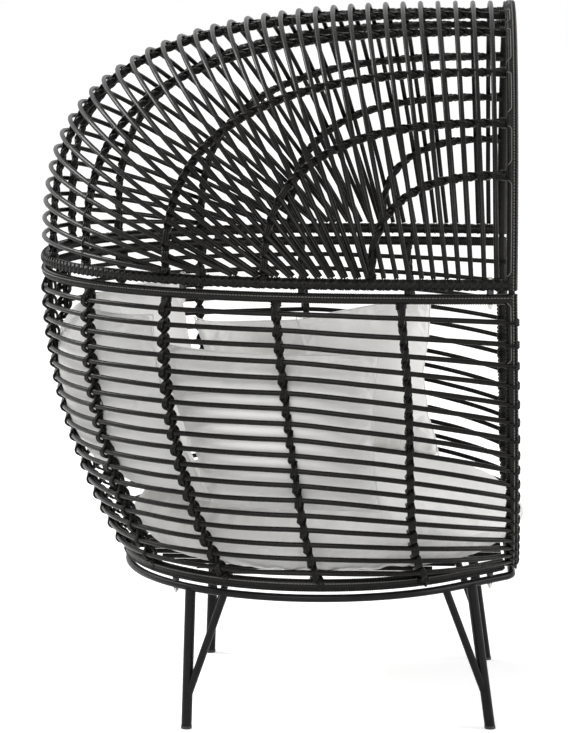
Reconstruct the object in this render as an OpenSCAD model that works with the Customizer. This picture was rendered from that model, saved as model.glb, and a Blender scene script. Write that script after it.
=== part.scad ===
// Cocoon lounge chair: a woven cane basket with a bolted-on woven hood,
// on a tubular steel base, with loose cushions. Millimetres, +Z up.
// The chair faces -Y. Its shell, base, seat and back cushion are symmetrical about the YZ
// plane; the side cushions differ in height, and the pillow leans on the +X one.
// The origin lies on the floor at the middle of the overall width and depth.

/* [Shell] */
// Width of the shell between the centrelines of its rims
shell_w = 1054; // [980:2:1120]
// Depth of the shell from the front posts to the back of the rims
shell_d = 984; // [930:1:1040]
// Distance of the widest point of the rims behind the front posts
widest_back = 250; // [220:1:290]
// How far each front post stands inside the widest point of the rims
post_inset = 11; // [8:1:24]
// Height of the centreline of the basket rim
basket_rim_z = 935; // [900:1:980]
// Clear gap between the basket rim and the hood rim
rim_gap = 10; // [8:0.5:16]
// Height of the top of the hood above the hood rim, between centrelines
hood_h = 528; // [490:1:560]

/* [Cane and wrapped tube] */
// Diameter of a round cane
cane_d = 10; // [8:0.5:11]
// Diameter of a braided rib
rib_d = 13; // [11:0.5:15]
// Diameter of the wrapped basket rim and hood rim
rim_d = 20; // [18:0.5:22]
// Diameter of the wrapped front frame
frame_d = 24; // [22:0.5:26]
// Diameter of the wrapped hood arch
arch_d = 24; // [20:0.5:26]
// How far the ribs lie inside the centrelines of the rims
rib_inset = 6; // [4:0.5:8]
// Clearance between the canes and the ribs that they cross
weave_clear = 0.4; // [0.3:0.1:1]
// Clearance at joints between wrapped tubes, canes and ribs
seat_clear = 0.3; // [0.2:0.05:0.6]

/* [Basket weave] */
// Number of canes round the basket
basket_canes = 18; // [16:1:20]
// How far the basket canes sag at the front posts, as a share
front_sag = 0.48; // [0.3:0.01:0.5]
// How strongly the basket walls curve in towards the base
wall_curve = 2.03; // [1.8:0.01:2.2]

/* [Hood weave] */
// Number of canes over the hood
hood_canes = 34; // [30:2:36]
// Number of upright canes at the front of the hood; the others lie in pairs
upright_canes = 10; // [8:2:12]
// Step along the rim between the two canes of the first pair
pair_step = 6; // [3:0.5:7]
// Distance of the first hood cane behind the arch
first_cane = 30; // [26:1:36]
// Distance along the ridge of the first hood cane behind the arch
first_top = 40; // [32:1:48]
// Distance along the ridge of the last hood cane from the hood rim
last_top = 44; // [36:1:52]
// Step between the upright hood canes along the rim
upright_step = 24.6; // [20:0.1:26]
// Length of the rim that the fanned hood canes take up
fan_length = 436; // [410:1:450]

/* [Base] */
// Height of the centreline of the steel base ring
base_ring_z = 303; // [280:1:330]
// Radius of the round part of the base ring
ring_r = 415; // [400:1:430]
// How far the circle of the base ring would reach ahead of the front posts
ring_over = 17; // [10:1:24]
// How far the front corners of the base ring stand ahead of the posts
ring_ahead = 15; // [8:1:20]
// Half the length of the straight front of the base ring
corner_x = 177; // [165:1:190]
// Diameter of the base ring, the basket ring and the struts
ring_d = 16; // [14:0.5:18]
// Gap between the base ring and the basket ring
base_gap = 7; // [6:0.5:10]
// Diameter of a leg
leg_d = 22; // [20:0.5:25]
// Wall of a leg tube
leg_wall = 1.5; // [1.2:0.1:2]
// How far a rear foot stands inside the side of the base ring
rear_foot_in = 92; // [80:1:110]
// How far a rear foot stands ahead of the back of the base ring
rear_foot_under = 149; // [135:1:165]
// How far a front foot stands inside the side of the base ring
front_foot_in = 125; // [110:1:140]
// How far a front foot stands behind the front of the base ring
front_foot_under = 44; // [30:1:60]
// Distance of a front leg's top from the round part of the base ring
front_leg_step = 52; // [45:1:60]
// Distance of a front base bolt from the round part of the base ring
front_bolt_step = 107; // [95:1:120]
// Height at which a strut meets its leg
strut_low_z = 65; // [55:1:80]
// Height of a foot cap below the end of its leg
foot_h = 6; // [4:0.5:10]
// Depth of the foot plug inside the leg tube
foot_plug = 16; // [10:1:22]

/* [Fasteners] */
// Diameter of the bolts
bolt_d = 6; // [5:0.5:6]
// Distance of the rear rim bolts ahead of the third rib
bolt_ahead = 34; // [28:1:40]

/* [Seat] */
// Diameter of the bars under the seat
bar_d = 16; // [14:0.5:16]
// Step between the bars under the seat
bar_step = 210; // [190:1:225]
// Step between the canes under the seat
floor_step = 48; // [44:0.5:56]
// Height of the seat cushion at its crown
seat_h = 155; // [130:1:170]
// How far the seat cushion bulges ahead of the front posts
seat_nose = 52; // [40:1:56]
// Height of the back cushion
back_h = 376; // [340:1:390]
// Thickness of the back cushion
back_t = 150; // [120:1:170]
// Height of the left side cushion
side_left_h = 325; // [280:1:340]
// Height of the right side cushion, which has sunk under the pillow
side_right_h = 272; // [250:1:300]
// Thickness of a side cushion
side_t = 112; // [90:1:130]
// Height of the loose pillow
pillow_h = 330; // [300:1:350]
// Thickness of the loose pillow
pillow_t = 105; // [80:1:120]

/* [Hidden] */

cane_colour = [0.13, 0.12, 0.11];
steel_colour = [0.10, 0.10, 0.10];
fabric_colour = [0.86, 0.85, 0.83];
zinc_colour = [0.62, 0.62, 0.60];
cap_colour = [0.06, 0.06, 0.06];

cane_r = cane_d / 2;
rib_r = rib_d / 2;
rim_r = rim_d / 2;
frame_r = frame_d / 2;
arch_r = arch_d / 2;
tube_r = ring_d / 2;
leg_r = leg_d / 2;
bolt_r = bolt_d / 2;
bar_r = bar_d / 2;
bolt_bore = bolt_r + 0.2;
weld_gap = 0.15;
// How far the centrelines of the canes lie outside the centrelines of the rims
cane_out = rib_r + cane_r + weave_clear - rib_inset;

// The overall depth runs from the nose of the seat cushion to the back of the canes
front_y = -(shell_d + cane_out + cane_r - seat_nose) / 2;
back_y = front_y + shell_d;
widest_y = front_y + widest_back;
half_w = shell_w / 2;
post_half = half_w - post_inset;
ring_back = ring_r - ring_over;
ring_y = front_y + ring_back;
corner_y = front_y - ring_ahead;
basket_ring_z = base_ring_z + ring_d + base_gap;
basket_h = basket_rim_z - basket_ring_z;
hood_rim_z = basket_rim_z + rim_d + rim_gap;
post_drop = (hood_rim_z - basket_ring_z) / sqrt(1 - pow(corner_x / post_half, 2));
rim_power = 2.2;
base_power = 2;
hood_power = 3;

// Places of the ribs as shares of the way from the middle of the back to a front post
rib_rim_share = [0.115, 0.345, 0.54, 0.73, 0.89];
rib_base_share = [0.065, 0.235, 0.425, 0.60, 0.78];
// The front ribs turn towards the back late on their way down
rib_late = [1, 1, 1, 1.7, 1.5];
// Front ends of the hood ribs, as shares of the half opening, and their rear ends,
// as shares of the depth of the shell
hood_rib_front = [0.195, 0.39, 0.63, 0.805, 0.915];
hood_rib_depth = [0.975, 0.887, 0.707, 0.50, 0.283];
hood_rib_power = [3.3, 3.0, 2.8, 2.8, 2.8];
// The canes sag in front of this rib
sag_from = 3;

function up(x, n) = pow(max(x, 0), n);
function unit(v) = v / norm(v);
function mix(a, b, t) = a + (b - a) * t;

// Points along a path, evenly spaced from one cut end to the other
function lengths(p, i = 1, sum = 0, out = [0]) =
  i >= len(p) ? out
  : let (s = sum + norm(p[i] - p[i - 1])) lengths(p, i + 1, s, concat(out, [s]));
function along(p, l, s, i) = let (t = (s - l[i]) / (l[i + 1] - l[i])) mix(p[i], p[i + 1], t);
function step_at(l, s, i = 0) = i >= len(l) - 2 || l[i + 1] >= s ? i : step_at(l, s, i + 1);
function spaced(p, n, cut_a = 0, cut_b = 0) =
  let (
    l = lengths(p),
    total = l[len(l) - 1] - cut_a - cut_b
  ) [for (k = [0:n]) let (s = cut_a + total * k / n) along(p, l, s, step_at(l, s))];
function respaced(p, pitch, cut_a = 0, cut_b = 0) =
  let (l = lengths(p))
  spaced(p, max(2, ceil((l[len(l) - 1] - cut_a - cut_b) / pitch)), cut_a, cut_b);
// Radius to the corners of a polygon that has the area of a circle of radius r
function corner_r(r, sides) = r * sqrt(PI / (sides * sin(180 / sides) * cos(180 / sides)));
// Length cut off the start of a rib's path, so that its end stays clear of a wrapped tube
// of radius r that passes through point a along g
function stop(p, a, g, r, s = 5) =
  let (
    l = lengths(p),
    i = step_at(l, s),
    t = unit(p[i + 1] - p[i]),
    u = unit(cross(t, g)),
    v = cross(t, u),
    side = unit(g),
    end = along(p, l, s, i) - a,
    away = [for (k = [0:30:330]) let (d = end + corner_r(rib_r, 6) * (cos(k) * u + sin(k) * v))
      norm(d - (d * side) * side)]
  ) min(away) >= corner_r(r, 10) + seat_clear ? s : stop(p, a, g, r, s + 0.2);
function mirrored(p) = [for (q = p) [-q[0], q[1], q[2]]];
function reversed(p) = [for (i = [len(p) - 1:-1:0]) p[i]];
// A path from the mid-plane to one side, made whole with its mirror image
function both_sides(p) = concat(reversed(mirrored(p)), [for (i = [1:len(p) - 1]) p[i]]);

// Share of the drop from the basket rim to the basket ring
function drop(z) = (basket_rim_z - z) / basket_h;
function level(f) = basket_rim_z - f * basket_h;
function plan_half(f) = half_w - (half_w - ring_r) * up(f, wall_curve);
function plan_back(f) = back_y - (back_y - ring_y - ring_r) * up(f, wall_curve);
function plan_mid(f) = mix(widest_y, ring_y, f);
function plan_power(f) = mix(rim_power, base_power, f);
function plan_front(f) = mix(front_y, corner_y, f);
function post_x(z) = post_half * sqrt(max(0, 1 - pow((hood_rim_z - z) / post_drop, 2)));
function front_span(half, reach, x, n) = reach / up(1 - pow(x / half, n), 1 / n);
function front_reach(f) =
  front_span(plan_half(f), plan_mid(f) - plan_front(f), post_x(level(f)), plan_power(f));
function post_angle(f) =
  let (n = plan_power(f))
  180 - acos(up((plan_mid(f) - plan_front(f)) / front_reach(f), n / 2));
// Slope of the wall, which widens a sideways offset into a true one
function wall_slope(f, a) =
  wall_curve * up(f, wall_curve - 1) / basket_h
  * ((back_y - ring_y - ring_r) * abs(cos(a)) + (half_w - ring_r) * abs(sin(a)));

// A point of the basket wall at drop f, share w of the way round, moved outwards by off
function wall(f, w, off = 0) =
  let (
    n = plan_power(f),
    a = abs(w) * post_angle(f),
    ax = plan_half(f),
    ay = a < 90 ? plan_back(f) - plan_mid(f) : front_reach(f),
    x = ax * up(sin(a), 2 / n),
    y = (a < 90 ? 1 : -1) * ay * up(abs(cos(a)), 2 / n),
    nx = up(x / ax, n - 1) / ax,
    ny = (a < 90 ? 1 : -1) * up(abs(y) / ay, n - 1) / ay,
    m = off * sqrt(1 + pow(wall_slope(f, a), 2)) / norm([nx, ny]),
    side = w < 0 ? -1 : 1
  ) [side * (x + m * nx), plan_mid(f) + y + m * ny, level(f)];

function rib_share(j, f) = mix(rib_rim_share[j], rib_base_share[j], up(f, rib_late[j]));
function cane_drop(t, w) =
  let (
    start = rib_share(sag_from, t),
    s = max(0, (abs(w) - start) / (1 - start))
  ) t + front_sag * pow(s, 1.5) * t * (1 - t);
// Shares round the basket at which a cane has a ring: at each rib and between ribs
function cane_shares(t) =
  let (r = [0, for (j = [0:4]) rib_share(j, t), 1])
  [for (i = [0:5], h = [0, 0.5]) if (i > 0 || h == 0) mix(r[i], r[i + 1], h)];
function cane_point(t, w) = wall(cane_drop(t, w), w, cane_out);
// Gap between a post and a cane that stops at share w, from the nearest rim of its end
function post_at(z) = [post_x(z), plan_front(max(0, drop(z))), z];
function post_gap(t, w) =
  let (
    end = cane_point(t, w),
    back = unit(cane_point(t, w - 0.01) - end),
    axis = unit(post_at(end[2] + 1) - post_at(end[2] - 1)),
    d = end - post_at(end[2]),
    m = d - (d * axis) * axis,
    l = m * back,
    s = sqrt(max(0, m * m - l * l))
  ) norm([l, max(0, s - corner_r(cane_r, 6))]) - corner_r(frame_r, 8);
function cane_stop(t, w = 1) =
  post_gap(t, w) >= seat_clear || w < 0.9 ? w : cane_stop(t, w - 0.0004);
function basket_cane(t) =
  both_sides([for (w = concat(cane_shares(t), [cane_stop(t)])) cane_point(t, w)]);

// Half width of the hood over the rim, and height of its ridge, both moved out by off
function rim_half(y, off = 0) =
  let (
    a = y > widest_y ? back_y - widest_y + off
      : front_span(half_w + off, widest_back, post_half + off, rim_power),
    d = abs(y - widest_y)
  ) (half_w + off) * up(1 - pow(d / a, rim_power), 1 / rim_power);
function ridge(y, off = 0) =
  (hood_h + off) * up(1 - pow(max(0, y - front_y) / (shell_d + off), hood_power), 1 / hood_power);
function dome(y, z, off = 0) =
  let (h = ridge(y, off))
  [h > 0.01 ? rim_half(y, off) * sqrt(max(0, 1 - pow(z / h, 2))) : 0, y, hood_rim_z + z];

// Depth and height of a hood rib's curve on the dome moved out by off
function rib_depth(j, off) = hood_rib_depth[j] * (shell_d + off);
function rib_top(j, off) = (hood_h + off) * sqrt(1 - pow(hood_rib_front[j], 2));
function hood_rib(j) =
  let (
    n = hood_rib_power[j],
    d = rib_depth(j, -rib_inset),
    h = rib_top(j, -rib_inset),
    fine = [for (t = [0:2:90])
      dome(front_y + d * up(sin(t), 2 / n), h * up(cos(t), 2 / n), -rib_inset)],
    top = [fine[0][0], front_y, hood_rim_z + rib_top(j, 0)],
    foot = [rim_half(front_y + d), front_y + d, hood_rim_z],
    round_arch = [(top[2] - hood_rim_z) / hood_h, 0, -hood_rib_front[j]]
  ) respaced(fine, 98, stop(fine, top, round_arch, arch_r),
             stop(reversed(fine), foot, rim_way(d), rim_r));

// Direction of the rims at a distance behind the posts
function rim_way(d) = [rim_half(front_y + d + 1) - rim_half(front_y + d - 1), 2, 0];

// The ridge as a path, which the hood canes cross at even steps
function ridge_at(t) =
  [front_y + (shell_d + cane_out) * up(sin(t), 2 / hood_power),
   (hood_h + cane_out) * up(cos(t), 2 / hood_power)];
ridge_angles = [for (t = [0:1.5:90]) t];
ridge_len = lengths([for (t = ridge_angles) ridge_at(t)]);
ridge_total = ridge_len[len(ridge_len) - 1];
function ridge_point(m) =
  let (s = mix(first_top, ridge_total - last_top, m / (hood_canes - 1)))
  ridge_at(along(ridge_angles, ridge_len, s, step_at(ridge_len, s)));
// Distance behind the posts at which a hood cane meets the rim. Behind the upright
// canes the feet come in pairs, whose steps grow towards the back.
fan_even = 0.68;
function second_of_pair(m) = m < upright_canes ? 0 : (m - upright_canes) % 2;
function cane_foot(m) =
  let (t = (m - upright_canes - second_of_pair(m) + 2) / (hood_canes - upright_canes))
  m < upright_canes ? first_cane + m * upright_step
  : first_cane + (upright_canes - 1) * upright_step
    + second_of_pair(m) * pair_step * (1 + pow(m / hood_canes, 8))
    + fan_length * (fan_even * t + (1 - fan_even) * pow(t, 6));
// Height of a cane's end over the rim, which grows with its slant along the rim
function cane_end_z(m) =
  let (lean = ridge_point(m) - [front_y + cane_foot(m), rim_r], c = lean[0] / norm(lean))
  sqrt(pow(corner_r(rim_r, 8) + seat_clear + cane_r * c, 2) - pow(cane_out - cane_r * (1 - c), 2));
// Near the rim the second cane of a pair lies on top of the first
pair_lift = 1.04 * cane_d;
function lifted(m, q) = second_of_pair(m) * pair_lift * up(1 - pow(q, 2), 3);
// How far a point of the hood's side view lies outside a hood rib
function past_rib(j, p) =
  pow((p[0] - front_y) / rib_depth(j, cane_out), hood_rib_power[j])
  + pow(p[1] / rib_top(j, cane_out), hood_rib_power[j]) - 1;
// Share of the way up from the foot to the top at which a cane crosses a hood rib
function crossing(j, foot, top, low = 0, high = 1, n = 14) =
  let (q = (low + high) / 2)
  n == 0 ? q
  : past_rib(j, mix(foot, top, q)) > 0 ? crossing(j, foot, top, low, q, n - 1)
  : crossing(j, foot, top, q, high, n - 1);
// A cane has a ring at each rib that it crosses, and between ribs that stand far apart
function with_middles(q) =
  concat([q[0]], [for (i = [1:len(q) - 1])
    for (v = acos(q[i]) - acos(q[i - 1]) > 20 ? [mix(q[i - 1], q[i], 0.4), q[i]] : [q[i]]) v]);
function hood_cane(m) =
  let (
    top = ridge_point(m),
    foot = [front_y + cane_foot(m), cane_end_z(m)],
    ribs = [for (j = [0:4]) if (past_rib(j, foot) < -0.05) crossing(j, foot, top)],
    shares = with_middles(concat([1], ribs, [0]))
  ) both_sides([for (q = shares)
      let (p = mix(foot, top, q))
      q == 1 ? [0, top[0], hood_rim_z + top[1]] : dome(p[0], p[1], cane_out + lifted(m, q))]);

// A round tube swept along a path; ref is a direction that the path never takes,
// and turn is the angle of its first corner. A closed tube joins its last ring to its first.
// Its rings are polygons with the area of the round section.
module tube(path, round_r, ref, sides = 6, turn = 0, closed = false) {
  n = len(path);
  r = corner_r(round_r, sides);
  rings = [for (i = [0:n - 1])
    let (
      t = unit(closed ? path[(i + 1) % n] - path[(i + n - 1) % n]
                      : path[min(i + 1, n - 1)] - path[max(i - 1, 0)]),
      u = unit(cross(ref, t)),
      v = cross(t, u)
    ) for (k = [0:sides - 1])
      path[i] + r * (cos(360 * k / sides + turn) * u + sin(360 * k / sides + turn) * v)];
  walls = [for (i = [0:closed ? n - 1 : n - 2], k = [0:sides - 1])
    let (a = i * sides + k, b = i * sides + (k + 1) % sides, next = (i + 1) % n * sides - i * sides)
    for (f = [[a, a + next, b], [b, a + next, b + next]]) f];
  last = (n - 1) * sides;
  caps = closed ? [] : [for (k = [1:sides - 2])
    for (f = [[0, k, k + 1], [last, last + k + 1, last + k]]) f];
  polyhedron(rings, concat(walls, caps));
}

// A straight round bar between two points, turned so that its seam lies beside its slant
module bar(a, b, r) {
  d = b - a;
  translate(a)
    rotate([0, acos(d[2] / norm(d)), atan2(d[1], d[0])])
      rotate([0, 0, 90])
        cylinder(r = r, h = norm(d), $fn = 48);
}

// Draws on the +X side, or its mirror image on the -X side
module on_side(side) {
  if (side > 0)
    children();
  else
    mirror([1, 0, 0])
      children();
}

// The D-shaped rings: a round back, straight sides and, on the base, a straight front
tangent_angle =
  acos(ring_r / norm([corner_x, ring_y - corner_y])) + atan2(corner_x, ring_y - corner_y);
tangent_point = [ring_r * sin(tangent_angle), ring_y - ring_r * cos(tangent_angle)];
side_len = norm([corner_x, corner_y] - tangent_point);
corner_bend = 40;
bend_cut = corner_bend * tan(tangent_angle / 2);
function side_point(s) = mix(tangent_point, [corner_x, corner_y], s / side_len);
// A point of the ring's round back, at an angle from the middle of the back
function ring_point(a) = [ring_r * sin(a), ring_y + ring_r * cos(a)];
function raised(p, z) = [for (q = p) [q[0], q[1], z]];
arc_steps = 13;
ring_arc = [for (i = [0:arc_steps]) ring_point((180 - tangent_angle) * i / arc_steps)];
ring_corner = [for (i = [0:4])
  let (a = tangent_angle * (1 - i / 4))
  [corner_x - bend_cut + corner_bend * sin(a), corner_y + corner_bend * (1 - cos(a))]];

// Straight and round stretches of the base ring, for the notches in legs and struts
module ring_side_bar(r) {
  bar(concat(side_point(0), base_ring_z), concat(side_point(side_len - bend_cut), base_ring_z), r);
}
module ring_back_arc(r) {
  translate([0, ring_y, base_ring_z])
    rotate([0, 0, tangent_angle - 90])
      rotate_extrude(angle = 360 - 2 * tangent_angle, $fn = 96)
        translate([ring_r, 0])
          circle(r = r, $fn = 32);
}

// Places of the bolts that hold the basket to the base
base_bolt_rear = ring_point(46);
base_bolt_front = side_point(front_bolt_step);
module at_base_bolts() {
  for (s = [-1, 1], p = [base_bolt_rear, base_bolt_front])
    translate([s * p[0], p[1], 0])
      children();
}

module base_ring() {
  color(steel_colour)
    difference() {
      tube(both_sides(raised(concat(ring_arc, ring_corner), base_ring_z)),
           tube_r, [0, 0, 1], 10, closed = true);
      at_base_bolts()
        translate([0, 0, base_ring_z - ring_d])
          cylinder(r = bolt_bore, h = 2 * ring_d, $fn = 48);
    }
}

leg_top_rear = ring_point(52);
leg_top_front = side_point(front_leg_step);
strut_top_rear = ring_point(64);
strut_top_front = ring_point(180 - tangent_angle - 3);
foot_rear = [ring_r - rear_foot_in, ring_y + ring_r - rear_foot_under, 0];
foot_front = [ring_r - front_foot_in, corner_y + front_foot_under, 0];
function leg_top(rear) = let (p = rear ? leg_top_rear : leg_top_front) [p[0], p[1], base_ring_z];
function strut_top(rear) = let (p = rear ? strut_top_rear : strut_top_front) [p[0], p[1], base_ring_z];
function foot_point(rear) = rear ? foot_rear : foot_front;
function on_leg(rear, z) = mix(foot_point(rear), leg_top(rear), z / base_ring_z);

// A block round a foot between two levels, wider than a leg
cut_size = 3 * leg_d;
module level_block(rear, low, high) {
  translate([foot_point(rear)[0] - cut_size / 2, foot_point(rear)[1] - cut_size / 2, low])
    cube([cut_size, cut_size, high - low]);
}

// A leg tube, cut level at the foot and notched to the ring at its top
module leg(rear, side) {
  color(steel_colour)
    on_side(side)
      difference() {
        bar(on_leg(rear, -leg_d), on_leg(rear, base_ring_z - 2), leg_r);
        bar(on_leg(rear, -2 * leg_d), on_leg(rear, base_ring_z - tube_r - 6), leg_r - leg_wall);
        level_block(rear, foot_h - cut_size, foot_h);
        if (rear)
          ring_back_arc(tube_r + weld_gap);
        else
          ring_side_bar(tube_r + weld_gap);
      }
}

// A thinner strut from the ring down to its leg
module strut(rear, side) {
  color(steel_colour)
    on_side(side)
      difference() {
        bar(on_leg(rear, strut_low_z), strut_top(rear) - [0, 0, 2], tube_r);
        bar(on_leg(rear, 0), on_leg(rear, base_ring_z), leg_r + weld_gap);
        ring_back_arc(tube_r + weld_gap);
      }
}

// A plastic foot cap with a plug in the leg tube
module foot(rear, side) {
  color(cap_colour)
    on_side(side)
      difference() {
        union() {
          bar(on_leg(rear, -leg_d), on_leg(rear, foot_h + foot_plug), leg_r - leg_wall - 0.1);
          intersection() {
            bar(on_leg(rear, -leg_d), on_leg(rear, foot_h + leg_d), leg_r + 0.6);
            level_block(rear, 0, foot_h);
          }
        }
        level_block(rear, -cut_size, 0);
      }
}

module base_spacers() {
  color(cap_colour)
    at_base_bolts()
      translate([0, 0, base_ring_z + tube_r + 0.1])
        difference() {
          cylinder(r = tube_r - 1, h = base_gap - 0.2, $fn = 48);
          translate([0, 0, -1])
            cylinder(r = bolt_bore, h = base_gap + 2, $fn = 48);
        }
}

bolt_head_r = bolt_d * 0.95;
bolt_head_h = bolt_d * 0.55;
nut_h = bolt_d * 0.8;
nut_r = bolt_d * 0.95;
bolt_tail = nut_h + 5;

// A round-headed bolt whose head seats at height top and whose nut sits under height low
module bolt(top, low) {
  translate([0, 0, low - bolt_tail])
    cylinder(r = bolt_r, h = top - low + bolt_tail + 1, $fn = 48);
  translate([0, 0, top + 0.1])
    cylinder(r = bolt_head_r, h = bolt_head_h * 0.55, $fn = 48);
  translate([0, 0, top + 0.1 + bolt_head_h * 0.55])
    cylinder(r1 = bolt_head_r, r2 = bolt_head_r * 0.7, h = bolt_head_h * 0.45, $fn = 48);
}

module nut(low) {
  translate([0, 0, low - nut_h - 0.1])
    difference() {
      cylinder(r = nut_r, h = nut_h, $fn = 6);
      translate([0, 0, -1])
        cylinder(r = bolt_r + 0.05, h = nut_h + 2, $fn = 48);
    }
}

module base_bolts() {
  color(zinc_colour)
    at_base_bolts()
      bolt(basket_ring_z + tube_r, base_ring_z - tube_r);
}

module base_nuts() {
  color(zinc_colour)
    at_base_bolts()
      nut(base_ring_z - tube_r);
}

// The ring at the foot of the basket, above the base ring and open at the front frame
basket_ring_stop = frame_r + ring_d + 2;
module basket_ring() {
  color(cane_colour)
    difference() {
      tube(both_sides(raised(concat(ring_arc, [side_point(side_len - basket_ring_stop)]), basket_ring_z)),
           tube_r, [0, 0, 1], 10);
      at_base_bolts()
        translate([0, 0, basket_ring_z - ring_d])
          cylinder(r = bolt_bore, h = 2 * ring_d, $fn = 48);
    }
}

// The front frame: two posts that curve in to a straight bar under the seat
post_top_z = basket_rim_z + rim_r;
post_bend = 20;
function post_path() =
  let (
    fine = [for (t = [0:3:90])
      let (z = mix(basket_ring_z, post_top_z, 1 - cos(t)), f = drop(z))
      [post_x(z), plan_front(max(0, f)), z]]
  ) respaced(fine, 70, post_bend);
module front_frame() {
  half = concat([[0, corner_y, basket_ring_z], [corner_x - post_bend, corner_y, basket_ring_z]],
                post_path());
  color(cane_colour)
    tube(both_sides(half), frame_r, [0, 1, 0], 8);
}

// A rim in plan, from one post round the back to the other
function rim_path(z, stop) =
  let (fine = [for (w = [0:0.02:1]) let (p = wall(0, w)) [p[0], p[1], z]])
  both_sides(respaced(fine, 108, 0, stop));

// The front rim bolts stand between the first two hood canes
rim_bolt_front = first_cane + upright_step / 2;
rim_bolt_rear = wall(0, rib_rim_share[2])[1] - front_y - bolt_ahead;
function rim_bolt_xy(d) = [rim_half(front_y + d), front_y + d];
module at_rim_bolts() {
  for (s = [-1, 1], d = [rim_bolt_front, rim_bolt_rear])
    translate([s * rim_bolt_xy(d)[0], rim_bolt_xy(d)[1], 0])
      children();
}

module rim(z, stop) {
  color(cane_colour)
    difference() {
      tube(rim_path(z, stop), rim_r, [0, 0, 1], 8, 22.5);
      at_rim_bolts()
        translate([0, 0, z - rim_d])
          cylinder(r = bolt_bore, h = 2 * rim_d, $fn = 48);
    }
}

module basket_rim() {
  rim(basket_rim_z, frame_r + seat_clear);
}

module hood_rim() {
  rim(hood_rim_z, arch_r + seat_clear);
}

function rib_path(j) =
  let (
    fine = [for (k = [0:60]) let (f = k / 60) wall(f, rib_share(j, f), -rib_inset)],
    high = wall(0, rib_rim_share[j]),
    low = wall(1, rib_base_share[j]),
    low_way = wall(1, rib_base_share[j] + 0.01) - low
  ) respaced(fine, 96, stop(fine, high, rim_way(high[1] - front_y), rim_r),
             stop(reversed(fine), low, low_way, tube_r));
module rib(j, side) {
  along_wall = wall(0.5, rib_share(j, 0.5) + 0.01) - wall(0.5, rib_share(j, 0.5) - 0.01);
  color(cane_colour)
    on_side(side)
      tube(rib_path(j), rib_r, along_wall, turn = 30);
}

module basket_cane_band(first, last) {
  color(cane_colour)
    for (i = [first:last])
      tube(basket_cane(i / (basket_canes + 1)), cane_r, [0, 0, 1], turn = 30);
}
band_a = round(basket_canes / 3);
band_b = round(basket_canes * 2 / 3);

module basket_canes_upper() {
  basket_cane_band(1, band_a);
}

module basket_canes_middle() {
  basket_cane_band(band_a + 1, band_b);
}

module basket_canes_lower() {
  basket_cane_band(band_b + 1, basket_canes);
}

// Cross bars in the basket ring, and canes that lie on them under the seat cushion
function bar_half(d) =
  let (x = sqrt(pow(ring_r, 2) - pow(d, 2)))
  x - (tube_r * ring_r + bar_r * abs(d)) / x - seat_clear;
module floor_bars() {
  color(steel_colour)
    for (d = [-bar_step, 0, bar_step])
      bar([-bar_half(d), ring_y + d, basket_ring_z], [bar_half(d), ring_y + d, basket_ring_z], bar_r);
}

floor_z = basket_ring_z + bar_r + seat_clear + cane_r;
floor_back_r = ring_r - rib_r - 3 * cane_d;
function floor_back(x) = ring_y + sqrt(pow(floor_back_r, 2) - pow(x, 2));
function floor_front(x) =
  x < corner_x - frame_d ? corner_y + frame_r + cane_d : ring_y - sqrt(pow(floor_back_r, 2) - pow(x, 2));
floor_count = floor((floor_back_r - 2 * cane_d) / floor_step);
module floor_canes() {
  color(cane_colour)
    for (k = [-floor_count:floor_count])
      let (x = k * floor_step)
      bar([x, floor_front(abs(x)), floor_z], [x, floor_back(abs(x)), floor_z], cane_r);
}

module hood_arch() {
  half = [for (t = [0:7.5:90])
    [post_half * sin(t), front_y, hood_rim_z + hood_h * cos(t)]];
  foot = [post_half, front_y, hood_rim_z - rim_r];
  color(cane_colour)
    tube(both_sides(concat(half, [foot])), arch_r, [0, 1, 0], 8, 22.5);
}

module hood_rib_tube(j, side) {
  color(cane_colour)
    on_side(side)
      tube(hood_rib(j), rib_r, [1, 0, 0]);
}

module hood_cane_band(first, last) {
  color(cane_colour)
    for (m = [first:last]) {
      top = ridge_point(m);
      lean = [front_y + cane_foot(m) - top[0], cane_end_z(m) - top[1]];
      tube(hood_cane(m), cane_r, [0, lean[1], -lean[0]], turn = 30);
    }
}
hood_band = upright_canes + floor((hood_canes - upright_canes) / 2);

module hood_canes_front() {
  hood_cane_band(0, upright_canes - 1);
}

module hood_canes_middle() {
  hood_cane_band(upright_canes, hood_band - 1);
}

module hood_canes_rear() {
  hood_cane_band(hood_band, hood_canes - 1);
}

rim_low = basket_rim_z + rim_r;
module rim_spacers() {
  color(cap_colour)
    at_rim_bolts()
      translate([0, 0, rim_low + 0.1])
        difference() {
          cylinder(r = rim_r - 3, h = rim_gap - 0.2, $fn = 48);
          translate([0, 0, -1])
            cylinder(r = bolt_bore, h = rim_gap + 2, $fn = 48);
        }
}

// Short pegs between the rims, at two ribs a side and at the front posts
tie_backs = [0, 205, 415];
module rim_ties() {
  color(cane_colour)
    for (s = [-1, 1], d = tie_backs)
      let (x = d == 0 ? post_half : rim_half(front_y + d))
      translate([s * x, front_y + d, rim_low + 0.1])
        cylinder(r = rib_r, h = rim_gap - 0.2, $fn = 48);
}

module rim_bolts() {
  color(zinc_colour)
    at_rim_bolts()
      bolt(hood_rim_z + rim_r, basket_rim_z - rim_r);
}

module rim_nuts() {
  color(zinc_colour)
    at_rim_bolts()
      nut(basket_rim_z - rim_r);
}

// One level of a stuffed form: a loop with full corners in a unit square, whose points
// are evenly spaced on a form that is aspect times as long as it is thick
function unit_loop(around, power, aspect) =
  let (
    fine = [for (a = [0:2:90]) [aspect * up(cos(a), power), up(sin(a), power)]],
    q = [for (p = spaced(fine, around / 4)) [p[0] / aspect, p[1]]],
    n = around / 4
  ) concat([for (i = [0:n - 1]) q[i]],
           [for (i = [0:n - 1]) [-q[n - i][0], q[n - i][1]]],
           [for (i = [0:n - 1]) -q[i]],
           [for (i = [0:n - 1]) [q[n - i][0], -q[n - i][1]]]);
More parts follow.
